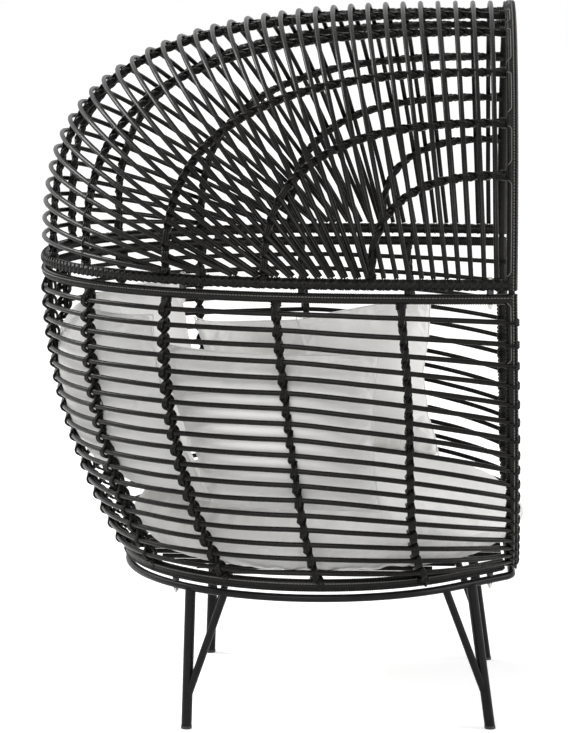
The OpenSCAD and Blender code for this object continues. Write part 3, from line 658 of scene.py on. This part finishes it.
cane_group("weave_basket_upper", "basket_canes_upper", range(1, 7), basket_cane)
cane_group("weave_basket_middle", "basket_canes_middle", range(7, 13), basket_cane)
cane_group("weave_basket_lower", "basket_canes_lower", range(13, 19), basket_cane)
cane_group("weave_hood_front", "hood_canes_front", range(0, 10), hood_cane)
cane_group("weave_hood_middle", "hood_canes_middle", range(10, 22), hood_cane)
cane_group("weave_hood_rear", "hood_canes_rear", range(22, 34), hood_cane)


# ---------------------------------------------------------------- twined ribs
# Height over a rib's path of a cord that passes over a cane
OVER_CANE = CANE_OUT + RIB_INSET + CANE_R + 2.2
# How far a rib's core lies outside its path, and the cords over the core between the canes
CORE_OUT, CROSSING = 2.5, 5.5
# Canes that lie closer than this along a rib are tied as one
TIED_AS_ONE = 17.0
# Sideways places of the three cords in a band
BAND = (-4.2, 0.0, 4.2)


def twined(mesh, path, outward, crossings, tall, core=6.0, cord=2.6, wide=4.4):
    """A rib: a core, and two bands of three cords that cross between the canes and pass by turns
    over and under them. crossings are run lengths, and tall how far out each cane reaches."""
    path, outward = resample(path, 4.0, outward)
    t = tangents(path)
    n = unit(outward - np.sum(outward * t, 1, keepdims=True) * t)
    b = np.cross(t, n)
    run = run_of(path)
    mesh.tube(path + CORE_OUT * n, core, 8, normals=n)
    groups = []
    for s, h in sorted(zip(crossings, tall)):
        if groups and s - groups[-1][1] < TIED_AS_ONE:
            groups[-1][1] = s
            groups[-1][2] = max(groups[-1][2], h)
        else:
            groups.append([s, s, h])
    rest = core + cord + CROSSING
    knots, phase, height = [0.0], [0.5], [rest]
    for i, (a, z, h) in enumerate(groups):
        for s in (a - 2.5, z + 2.5):
            knots.append(s)
            phase.append(i + 1.0)
            height.append(h)
        nxt = groups[i + 1][0] if i + 1 < len(groups) else run[-1]
        knots.append(mix(z, nxt, 0.5))
        phase.append(i + 1.5)
        height.append(rest)
    knots.append(run[-1] + 1)
    phase.append(len(groups) + 1.5)
    height.append(rest)
    turn = math.pi * np.interp(run, knots, phase)
    tops = np.interp(run, knots, height)
    low = core + cord
    for k in range(2):
        c, s = np.cos(turn + math.pi * k), np.sin(turn + math.pi * k)
        over = (tops - low) / 2 + (tops + low) / 2 * np.sign(c) * np.abs(c) ** 0.75
        for shift in BAND:
            away = wide * s + shift * np.abs(c) ** 0.5
            lift = over + 0.5 * shift * s
            mesh.tube(path + n * lift[:, None] + b * away[:, None], cord, 6)


def end_coil(mesh, centre, outward, axis, radius=9.0):
    """Three turns of cord round a rib near its end."""
    coil(mesh, centre + 3 * outward, axis, radius, 3, 4.6, 2.3)


def basket_rib(j, side):
    shares = np.linspace(0, 1, 90)
    path = np.array([wall(f, rib_share(j, f), -RIB_INSET) for f in shares])
    outward = np.array([wall(f, rib_share(j, f), 1.0 - RIB_INSET) for f in shares]) - path
    run = run_of(path)
    crossings = []
    for i in range(1, BASKET_CANES + 1):
        t = i / (BASKET_CANES + 1)
        f = t
        for _ in range(12):
            f = cane_drop(t, rib_share(j, f))
        crossings.append(np.interp(f, shares, run))
    mesh = Mesh()
    path, outward = sided(path, side), sided(outward, side)
    twined(mesh, path, outward, crossings, [OVER_CANE] * len(crossings))
    t = tangents(path)
    out = unit(outward)
    end_coil(mesh, path[2], out[2], t[2], 9.4)
    end_coil(mesh, path[-3], out[-3], t[-3])
    name = "rib_%d_%s" % (j + 1, "right" if side > 0 else "left")
    mesh.make("twined_" + name, CORD, "wrapped", name)


def hood_rib(j, side):
    n = HOOD_RIB_POWER[j]
    d, h = rib_depth(j, -RIB_INSET), rib_top(j, -RIB_INSET)
    yz = [(FRONT_Y + d * up(sind(t), 2 / n), h * up(cosd(t), 2 / n)) for t in np.linspace(0, 90, 160)]
    path = np.array([dome(y, z, -RIB_INSET) for y, z in yz])
    outward = np.array([dome(y, z, 1.5 - RIB_INSET) for y, z in yz]) - path
    outward[np.linalg.norm(outward, axis=1) < 1e-6] = (0, 0, 1)
    run = run_of(path)
    crossings, tall = [], []
    for m in range(HOOD_CANES):
        foot, top = cane_ends(m)
        if past_rib(j, foot) > 0 or past_rib(j, top) < 0:
            continue
        low, high = 0.0, 1.0
        for _ in range(30):
            q = (low + high) / 2
            if past_rib(j, foot + (top - foot) * q) > 0:
                high = q
            else:
                low = q
        p = foot + (top - foot) * q
        near = np.argmin(np.linalg.norm(path - dome(p[0], p[1], CANE_OUT), axis=1))
        crossings.append(run[near])
        tall.append(OVER_CANE + lifted(m, q))
    mesh = Mesh()
    path, outward = sided(path, side), sided(outward, side)
    twined(mesh, path, outward, crossings, tall)
    t = tangents(path)
    out = unit(outward)
    end_coil(mesh, path[0] + t[0] * 15, out[0], t[0])
    end_coil(mesh, path[-1] - t[-1] * 12, out[-1], t[-1])
    name = "hood_rib_%d_%s" % (j + 1, "right" if side > 0 else "left")
    mesh.make("twined_" + name, CORD, "wrapped", name)


for j in range(5):
    both(lambda side: basket_rib(j, side))
    both(lambda side: hood_rib(j, side))


# ---------------------------------------------------------------- rims and front frame
# How far a rim's winding stands out past its radius in the CAD
WRAP = 0.8
# Angle above the rim's outermost line at which its row of light lacing lies, whose dots are painted
# highlights
LIFTED_ROW = 0.30
# The hood rim's braid: cords, their radius, the run of one round, and the angle they swing to
BRAID_CORDS, BRAID_R, BRAID_RUN, BRAID_SWING = 4, 2.9, 62.0, 1.2


def rim_path(z):
    return np.array([wall(0, w) * (1, 1, 0) + (0, 0, z) for w in np.linspace(-1, 1, 321)])


def rim_outward():
    return np.array([wall(0, w, 1.0) - wall(0, w) for w in np.linspace(-1, 1, 321)]) * (1, 1, 0)


def basket_rim():
    mesh, painted_highlight_lacing = Mesh(), Mesh()
    path, outward = resample(rim_path(BASKET_RIM_Z), 1.1, rim_outward())
    mesh.tube(path, RIM_R + WRAP, 16, normals=outward, groove=winding(4.6, 0.16))
    beads(mesh, path, outward, 0.62, RIM_R + 1.0, 1.6, 5.2, 1.0)
    # A row of light lacing dots along the rim: painted highlights of the winding
    painted_highlight_dots(painted_highlight_lacing, path, outward, LIFTED_ROW, RIM_R - 0.1)
    mesh.make("wrapped_basket_rim", CORD, "wrapped", "basket_rim")
    painted_highlight_lacing.make("painted_highlight_basket_rim", PAINTED_HIGHLIGHT_LACING, "wrapped")


def hood_rim():
    """The hood's rim: a wrapped tube with a flat braid over its outside, and a turn of cord
    where each cane ends."""
    mesh = Mesh()
    path, outward = resample(rim_path(HOOD_RIM_Z - 1.5), 1.4, rim_outward())
    mesh.tube(path, RIM_R + WRAP, 16, normals=outward, groove=winding(4.4, 0.05))
    t = tangents(path)
    n = unit(outward - np.sum(outward * t, 1, keepdims=True) * t)
    b = np.cross(t, n)
    run = run_of(path)
    for k in range(BRAID_CORDS):
        a = 2 * math.pi * (run / BRAID_RUN + k / BRAID_CORDS)
        turn = BRAID_SWING * np.sin(a)
        lift = RIM_R - 0.6 + 1.2 * np.sin(2 * a + 0.4)
        points = path + lift[:, None] * (np.cos(turn)[:, None] * n + np.sin(turn)[:, None] * b)
        mesh.tube(points, BRAID_R, 8, normals=n)
    for m in range(HOOD_CANES):
        foot = hood_cane_point(m, 0.0)
        near = np.argmin(np.linalg.norm(path - foot, axis=1))
        for side in (1, -1):
            at = sided(path[near], side if foot[0] > 0 else -side)
            along = sided(t[near], side)
            coil(mesh, at, along, RIM_R + 1.2, 1.1, 5.0, 1.7)
    mesh.make("braided_hood_rim", CORD, "wrapped", "hood_rim")


def edge_cord(mesh, path, outward, start, end, inner, r=1.0):
    """A thin cord along a wrapped tube between two run lengths. It lies on the tube's outer
    side, and its ends turn to the inner edge, at the angle inner."""
    run = run_of(path)
    s = np.arange(start, end, 2.0)
    at = np.stack([np.interp(s, run, path[:, k]) for k in range(3)], 1)
    n = unit(np.stack([np.interp(s, run, outward[:, k]) for k in range(3)], 1))
    t = tangents(at)
    n = unit(n - np.sum(n * t, 1, keepdims=True) * t)
    b = np.cross(t, n)
    near_end = np.clip(1 - np.minimum(s - start, end - s) / 14.0, 0, 1)
    angle = (inner * (0.12 + 0.88 * near_end ** 2))[:, None]
    mesh.tube(at + (ARCH_R + 0.6) * (np.cos(angle) * n + np.sin(angle) * b), r, 6)


def arch():
    mesh, painted_highlight_lacing = Mesh(), Mesh()
    turn = np.radians(np.linspace(-90, 90, 260))
    path = np.stack([POST_HALF * np.sin(turn), np.full(len(turn), FRONT_Y),
                     HOOD_RIM_Z + HOOD_H * np.cos(turn)], 1)
    foot = np.array([[POST_HALF, FRONT_Y, HOOD_RIM_Z - RIM_R - 2]])
    path = np.concatenate([foot * FLIP, path, foot])
    outward = path - (0, FRONT_Y, HOOD_RIM_Z - 40)
    path, outward = resample(path, 1.1, outward)
    mesh.tube(path, ARCH_R, 18, normals=outward, groove=winding(4.6, 0.13))
    for angle in (-0.9, 0.62):
        beads(mesh, path, outward, angle, ARCH_R + 0.3, 1.4, 5.0, 0.9)
    # Two rows of light lacing dots: painted highlights on the arch's winding
    for angle in (0.25, 0.85):
        painted_highlight_dots(painted_highlight_lacing, path, outward, angle, ARCH_R - 0.7)
    run = run_of(path)
    joints = []
    for share in [-1.0] + [-x for x in HOOD_FRONT[::-1]] + HOOD_FRONT + [1.0]:
        place = (share * POST_HALF, FRONT_Y, HOOD_RIM_Z + HOOD_H * math.sqrt(1 - share ** 2))
        joints.append(run[np.argmin(np.linalg.norm(path - place, axis=1))])
    # Light edge cords between the rib joints: a cord whose light colour paints the highlight line along the
    # arch's inner edge
    for start, end in zip(joints, joints[1:]):
        edge_cord(painted_highlight_lacing, path, outward, start + 12, end - 12, -1.35)
    mesh.make("wrapped_hood_arch", CORD, "wrapped", "hood_arch")
    painted_highlight_lacing.make("painted_highlight_hood_arch", PAINTED_HIGHLIGHT_LACING, "wrapped")


# Run length up a post at which the bend at its foot ends
POST_CUT = 20.0


def front_frame():
    """The posts and the bar that joins them below, with a coil where each basket cane ends."""
    mesh, painted_highlight_lacing = Mesh(), Mesh()
    posts = []
    for a in np.linspace(0, 90, 120):
        z = mix(BASKET_RING_Z, BASKET_RIM_Z + RIM_R, 1 - cosd(a))
        posts.append([post_x(z), plan_front(max(0.0, drop(z))), z])
    posts = np.array(posts)
    low = np.stack([np.linspace(0, CORNER_X - 22, 30), np.full(30, CORNER_Y), np.full(30, BASKET_RING_Z)], 1)
    run = run_of(posts)
    cut = np.array([np.interp(POST_CUT, run, posts[:, k]) for k in range(3)])
    corner = np.array([CORNER_X, CORNER_Y, BASKET_RING_Z])
    s = np.linspace(0, 1, 9)[1:-1, None]
    bend = (1 - s) ** 2 * low[-1] + 2 * s * (1 - s) * corner + s ** 2 * cut
    half = np.concatenate([low, bend, posts[run >= POST_CUT]])
    path = np.concatenate([half[::-1] * FLIP, half[1:]])
    outward = path - (0, CORNER_Y, 760)
    outward[:, 1] = 0
    path, outward = resample(path, 1.3, outward)
    mesh.tube(path, FRAME_R, 18, normals=outward, groove=winding(5.2, 0.13))
    for angle in (-0.7, math.pi / 2 - 0.4):
        beads(mesh, path, outward, angle, FRAME_R + 0.3, 1.9, 8.5, 1.4)
    # Two rows of light lacing dots: painted highlights on the posts' winding
    for angle in (-0.25, -0.85):
        painted_highlight_dots(painted_highlight_lacing, path, outward, angle, FRAME_R - 0.7)
    total = run_of(path)[-1]
    # Light edge cords at the posts: a cord whose light colour paints the highlight line along the inner edge
    for start in (12.0, total - 142.0):
        edge_cord(painted_highlight_lacing, path, outward, start, start + 130.0, 1.35)
    painted_highlight_lacing.make("painted_highlight_front_frame", PAINTED_HIGHLIGHT_LACING, "wrapped")
    t = tangents(path)
    for i in range(1, BASKET_CANES + 1):
        end = basket_cane_end(i)
        for side in (1, -1):
            at = sided(end, side)
            near = int(np.argmin(np.linalg.norm(path - at, axis=1)))
            coil(mesh, path[near], t[near], FRAME_R + 1.6, 2.6, 4.4, 2.1)
    mesh.make("wrapped_front_frame", CORD, "wrapped", "front_frame")


def basket_cane_end(i):
    t = i / (BASKET_CANES + 1)
    return wall(cane_drop(t, 1.0), 1.0, CANE_OUT)


basket_rim()
hood_rim()
arch()
front_frame()


# ---------------------------------------------------------------- steel base
REACH = math.hypot(CORNER_X, RING_Y - CORNER_Y)
TANGENT = acosd(RING_R / REACH) + math.degrees(math.atan2(CORNER_X, RING_Y - CORNER_Y))
TANGENT_POINT = np.array([RING_R * sind(TANGENT), RING_Y - RING_R * cosd(TANGENT)])
SIDE_LEN = float(np.linalg.norm(np.array([CORNER_X, CORNER_Y]) - TANGENT_POINT))
CORNER_BEND = 40.0
BEND_CUT = CORNER_BEND * math.tan(math.radians(TANGENT / 2))


# The wrapped bundle on the basket ring: its half height, and its depth as a share of that
BUNDLE_R, BUNDLE_FLAT = 13.5, 0.72


def side_point(s):
    return TANGENT_POINT + (np.array([CORNER_X, CORNER_Y]) - TANGENT_POINT) * (s / SIDE_LEN)


def ring_point(a):
    return np.array([RING_R * sind(a), RING_Y + RING_R * cosd(a)])


def raised(points, z):
    points = np.asarray(points)
    return np.concatenate([points, np.full((len(points), 1), z)], 1)


def base_ring():
    arc = [ring_point((180 - TANGENT) * i / 90) for i in range(91)]
    corner = [(CORNER_X - BEND_CUT + CORNER_BEND * sind(a), CORNER_Y + CORNER_BEND * (1 - cosd(a)))
              for a in TANGENT * (1 - np.linspace(0, 1, 14))]
    half = raised(arc + corner, BASE_RING_Z)
    path = np.concatenate([(half * FLIP)[::-1], half[1:]])
    mesh = Mesh()
    mesh.tube(path, TUBE_R, 20, closed=True, normals=np.tile([0, 0, 1.0], (len(path), 1)))
    mesh.make("steel_ring", STEEL, "steel", "base_ring")


def basket_ring():
    arc = [ring_point((180 - TANGENT) * i / 90) for i in range(91)]
    half = raised(arc + [side_point(SIDE_LEN - FRAME_R - 2 * TUBE_R - 2)], BASKET_RING_Z)
    path = np.concatenate([(half * FLIP)[::-1], half[1:]])
    outward = path - (0, RING_Y, BASKET_RING_Z)
    path, outward = resample(path + (0, 0, 4), 1.2, outward)
    mesh, painted_highlight_lacing = Mesh(), Mesh()
    mesh.tube(path, BUNDLE_R, 18, normals=outward, groove=winding(4.8, 0.08), flat=BUNDLE_FLAT)
    beads(mesh, path + (0, 0, -6.0), outward, 0.0, 8.6, 1.6, 5.2, 0.8)
    # A row of light lacing dots above the bundle: painted highlights of its winding
    painted_highlight_dots(painted_highlight_lacing, path + (0, 0, 5.0), outward, 0.0, 9.0, 1.6)
    painted_highlight_lacing.make("painted_highlight_basket_ring", PAINTED_HIGHLIGHT_LACING, "wrapped")
    mesh.make("wrapped_basket_ring", CORD, "wrapped", "basket_ring")


base_ring()
basket_ring()

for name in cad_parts:
    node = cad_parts[name]
    if name.startswith(("leg_", "strut_", "floor_bars")):
        material = STEEL
    elif name.startswith("foot_") or name.endswith("spacers"):
        material = CAP
    elif "bolts" in name or "nuts" in name:
        material = ZINC
    elif name == "floor_canes":
        material = CANE
    else:
        material = CORD
    node.data.materials.clear()
    node.data.materials.append(material)


# ---------------------------------------------------------------- cushions
SEAT_LOW = BASKET_RING_Z + TUBE_R + 2 * CANE_R + 2 * SEAT_CLEAR
SEAT_TOP = SEAT_LOW + 155.0
CUSHION_NEAR = RIB_R + RIB_INSET
# Height of the seat pad before it is stuffed
SEAT_H = 134.0
# Points along and up a pad that stands against the wall, and round and up the seat pad
PAD_COLS, PAD_ROWS = 60, 36
SEAT_AROUND, SEAT_LEVELS = 96, 26
# How far a pad's edges draw in between its corners
DRAWN_IN = 0.035


def cushion_object(name, verts, faces):
    me = bpy.data.meshes.new(name)
    me.from_pydata((np.array(verts) * 0.001).tolist(), [], faces)
    bm = bmesh.new()
    bm.from_mesh(me)
    bmesh.ops.recalc_face_normals(bm, faces=bm.faces)
    bm.to_mesh(me)
    bm.free()
    me.polygons.foreach_set("use_smooth", [True] * len(me.polygons))
    me.materials.append(CLOTH)
    ob = bpy.data.objects.new(name, me)
    bpy.context.scene.collection.objects.link(ob)
    return ob


def wall_pad(name, w0, w1, low, high, near, thick, ear=0.0, front=None, drop_back=0.0):
    """A knife-edged cushion against the basket wall, between shares w0 and w1 of the way round.
    ear lifts its top corners, front moves its front edge by a share at each height from its
    lower to its upper end, and drop_back lowers the rear end of its top."""
    cols, rows = PAD_COLS, PAD_ROWS
    verts, faces, grid = [], [], {}
    for face in (0, 1):
        for r in range(rows + 1):
            for c in range(cols + 1):
                p, q = 2 * c / cols - 1, 2 * r / rows - 1
                edge = r in (0, rows) or c in (0, cols)
                if edge and face == 1:
                    grid[face, r, c] = grid[0, r, c]
                    continue
                puff = (max(0.0, 1 - abs(p) ** 2.6) * max(0.0, 1 - abs(q) ** 2.6)) ** 0.42
                half = max(0.04, puff) * thick / 2 * (0 if edge else 1)
                pin_p = p * (1 - DRAWN_IN * (1 - q * q))
                pin_q = q * (1 - DRAWN_IN * (1 - p * p))
                rise = (1 + q) / 2
                top = high + ear * abs(p) ** 8 - drop_back * ((1 - p) / 2) ** 1.3
                z = mix(low, top, (pin_q + 1) / 2)
                w = mix(w0, w1, (pin_p + 1) / 2)
                if front:
                    w += np.interp(rise, np.linspace(0, 1, len(front)), front) * ((1 + p) / 2) ** 2
                depth = near + thick / 2 + (half if face else -half)
                grid[face, r, c] = len(verts)
                verts.append(wall(drop(z), w, -depth))
    for face in (0, 1):
        for r in range(rows):
            for c in range(cols):
                ids = [grid[face, r, c], grid[face, r, c + 1], grid[face, r + 1, c + 1], grid[face, r + 1, c]]
                faces.append(ids if face == 0 else ids[::-1])
    loop = ([grid[0, 0, c] for c in range(cols)] + [grid[0, r, cols] for r in range(rows)]
            + [grid[0, rows, c] for c in range(cols, 0, -1)] + [grid[0, r, 0] for r in range(rows, 0, -1)])
    seam = np.array([verts[k] for k in loop])
    return cushion_object(name, verts, faces), seam


def seat_pad():
    """A round crowned cushion, with its seam at half the levels."""
    verts, faces = [], []
    around, levels = SEAT_AROUND, SEAT_LEVELS
    for j in range(levels + 1):
        v = -90 + 180 * j / levels
        r = up(cosd(v), 0.36)
        c = -up(-sind(v), 0.5) if v < 0 else up(sind(v), 0.8)
        for k in range(around):
            a = 2 * math.pi * k / around
            x, y = r * math.cos(a) * (RING_R - 14), r * math.sin(a)
            y *= RING_R - 10 if y > 0 else RING_BACK + 42
            z = SEAT_LOW + 2 + SEAT_H * (0.45 * (1 + c) if c < 0 else mix(0.45, 1, c))
            verts.append((x, RING_Y + y, z))
    for j in range(levels):
        for k in range(around):
            faces.append([j * around + k, j * around + (k + 1) % around,
                          (j + 1) * around + (k + 1) % around, (j + 1) * around + k])
    faces.append(list(range(around))[::-1])
    faces.append(list(range(levels * around, (levels + 1) * around)))
    middle = levels // 2
    seam = np.array(verts[middle * around:(middle + 1) * around])
    return cushion_object("cushion_seat", verts, faces), seam


def evaluated(ob):
    """Puts the object's modifiers into its mesh."""
    graph = bpy.context.evaluated_depsgraph_get()
    me = bpy.data.meshes.new_from_object(ob.evaluated_get(graph))
    ob.modifiers.clear()
    ob.data = me


def places(ob):
    co = np.empty(len(ob.data.vertices) * 3, np.float32)
    ob.data.vertices.foreach_get("co", co)
    return co.reshape(-1, 3).astype(float)


# The cloth's simulation: its extra size as a negative shrink, its pressure and its frames
SLACK, PRESSURE, FRAMES = -0.05, 4.0, 20


def stuffed(ob, seam, voxel, cap):
    """Blows a cushion up under cloth that is a little too large and held at its seam, so that
    folds run from the seam. No point moves further than cap."""
    remesh = ob.modifiers.new("remesh", "REMESH")
    remesh.mode, remesh.voxel_size = "VOXEL", voxel * 0.001
    evaluated(ob)
    before = places(ob)
    tree = KDTree(len(seam))
    for i, point in enumerate(seam * 0.001):
        tree.insert(point, i)
    tree.balance()
    held = [i for i, point in enumerate(before) if tree.find(point)[2] < 1.3 * voxel * 0.001]
    group = ob.vertex_groups.new(name="seam")
    group.add(held, 1.0, "REPLACE")
    cloth = ob.modifiers.new("cloth", "CLOTH")
    setup = cloth.settings
    setup.quality = 4
    setup.mass = 0.3
    setup.vertex_group_mass = "seam"
    setup.use_pressure = True
    setup.uniform_pressure_force = PRESSURE
    setup.tension_stiffness = setup.compression_stiffness = 12
    setup.shear_stiffness = 4
    setup.bending_stiffness = 0.15
    setup.shrink_min = SLACK
    setup.effector_weights.gravity = 0
    cloth.collision_settings.use_collision = False
    cloth.point_cache.frame_start, cloth.point_cache.frame_end = 1, FRAMES
    for f in range(1, FRAMES + 1):
        bpy.context.scene.frame_set(f)
    evaluated(ob)
    ob.vertex_groups.clear()
    move = places(ob) - before
    size = np.maximum(np.linalg.norm(move, axis=1, keepdims=True), 1e-9)
    limit = cap * 0.001
    after = before + move / size * limit * np.tanh(size / limit)
    ob.data.vertices.foreach_set("co", after.astype(np.float32).ravel())
    ob.data.update()
    smooth = ob.modifiers.new("smooth", "SUBSURF")
    smooth.levels = smooth.render_levels = 1
    evaluated(ob)
    ob.data.polygons.foreach_set("use_smooth", [True] * len(ob.data.polygons))
    bpy.context.scene.frame_set(1)


def cushion(built, node, voxel, cap):
    ob, seam = built
    stuffed(ob, seam, voxel, cap)
    placed(ob, "fabric", node)
    welt = Mesh()
    loop = resample(np.concatenate([seam, seam[:1]]), 4.0)[:-1]
    welt.tube(loop, 1.7, 6, closed=True)
    welt.make(ob.name + "_welt", CLOTH, "fabric")


# Room between the ribs and the pillow, for the side cushion that it leans on
PILLOW_NEAR = CUSHION_NEAR + 112.0
# Distance of the other cushions from the ribs
PAD_NEAR = CUSHION_NEAR + 3
# How far the side cushions' front edges lean, as shares from the lower to the upper end
SIDE_FRONT = (-0.036, -0.02, 0.0, 0.022, 0.042)
cushion(seat_pad(), "seat_cushion", 8.0, 14.0)
cushion(wall_pad("cushion_back", -0.448, 0.448, SEAT_TOP - 16, SEAT_TOP + 368, PAD_NEAR, 128, ear=6),
        "back_cushion", 7.0, 20.0)
cushion(wall_pad("cushion_side_right", 0.472, 0.815, SEAT_TOP - 20, SEAT_TOP + 264, PAD_NEAR, 92,
                 ear=12, front=SIDE_FRONT), "side_cushion_right", 6.0, 18.0)
cushion(wall_pad("cushion_side_left", -0.472, -0.815, SEAT_TOP - 20, SEAT_TOP + 317, PAD_NEAR, 92,
                 ear=6, front=tuple(-x for x in SIDE_FRONT)), "side_cushion_left", 6.0, 18.0)
cushion(wall_pad("cushion_pillow", 0.68, 0.900, SEAT_TOP - 22, SEAT_TOP + 322, PILLOW_NEAR, 88,
                 ear=8, front=(0.03, -0.006, -0.012, 0.004, 0.012), drop_back=48), "pillow", 6.0, 14.0)


# ---------------------------------------------------------------- floor and light
# Floor glow at the chair and far away, in metres from the chair, so that its shadow shows
# while the far floor stays white
GLOW_NEAR, GLOW_FAR, NEAR, FAR = 0.44, 0.72, 1.4, 4.5
# Light of the world on surfaces, where what the camera sees of it has a strength of 1
AMBIENT = 0.40
WHITE = (1, 1, 1, 1)


def seen(tree):
    """1 for a ray from the camera, or by way of a mirror or glass, and else 0."""
    rays = tree.nodes.new("ShaderNodeLightPath").outputs
    value = rays["Is Camera Ray"]
    for kind in ("Is Glossy Ray", "Is Transmission Ray"):
        most = tree.nodes.new("ShaderNodeMath")
        most.operation = "MAXIMUM"
        tree.links.new(value, most.inputs[0])
        tree.links.new(rays[kind], most.inputs[1])
        value = most.outputs[0]
    return value


def set_floor():
    bpy.ops.mesh.primitive_plane_add(size=60, location=(0, 0, -0.0005))
    floor = bpy.context.object
    floor.name = "floor"
    n = Nodes("floor")
    grain = n.noise(n.object_place(), 3.0, 2.0)
    n.finish(n.blend(grain, (0.80, 0.80, 0.80, 1), (0.83, 0.83, 0.83, 1)), 0.9)
    n.link(WHITE, n.bsdf.inputs["Emission Color"])
    away = n.tree.nodes.new("ShaderNodeVectorMath")
    away.operation = "LENGTH"
    n.link(n.object_place(), away.inputs[0])
    glow = n.remap(away.outputs["Value"], NEAR, FAR, GLOW_NEAR, GLOW_FAR)
    n.link(n.math("MULTIPLY", seen(n.tree), glow), n.bsdf.inputs["Emission Strength"])
    floor.data.materials.append(n.mat)


def set_world():
    world = bpy.data.worlds.new("studio")
    bpy.context.scene.world = world
    world.use_nodes = True
    tree = world.node_tree
    back = tree.nodes["Background"]
    bright = tree.nodes.new("ShaderNodeBackground")
    blend = tree.nodes.new("ShaderNodeMixShader")
    tree.links.new(seen(tree), blend.inputs[0])
    for i, (node, strength) in enumerate(((back, AMBIENT), (bright, 1.0))):
        node.inputs["Color"].default_value = WHITE
        node.inputs["Strength"].default_value = strength
        tree.links.new(node.outputs[0], blend.inputs[i + 1])
    tree.links.new(blend.outputs[0], tree.nodes["World Output"].inputs["Surface"])


def lamp(name, place, target, size, power):
    data = bpy.data.lights.new(name, "AREA")
    data.shape = "RECTANGLE"
    data.size, data.size_y = size
    data.energy = power
    ob = bpy.data.objects.new(name, data)
    ob.location = place
    ob.rotation_mode = "QUATERNION"
    ob.rotation_quaternion = (Vector(target) - Vector(place)).to_track_quat("-Z", "Y")
    bpy.context.scene.collection.objects.link(ob)


set_floor()
set_world()
lamp("key", (1.4, 3.8, 3.9), (0, 0, 1.0), (2.4, 2.4), 260)
lamp("front", (-0.8, -4.6, 2.0), (0, 0, 0.8), (2.4, 2.0), 115)
lamp("side", (-4.4, 0.8, 3.0), (0, 0, 0.7), (2.8, 2.4), 120)
scene = bpy.context.scene
scene.view_settings.view_transform = "Standard"
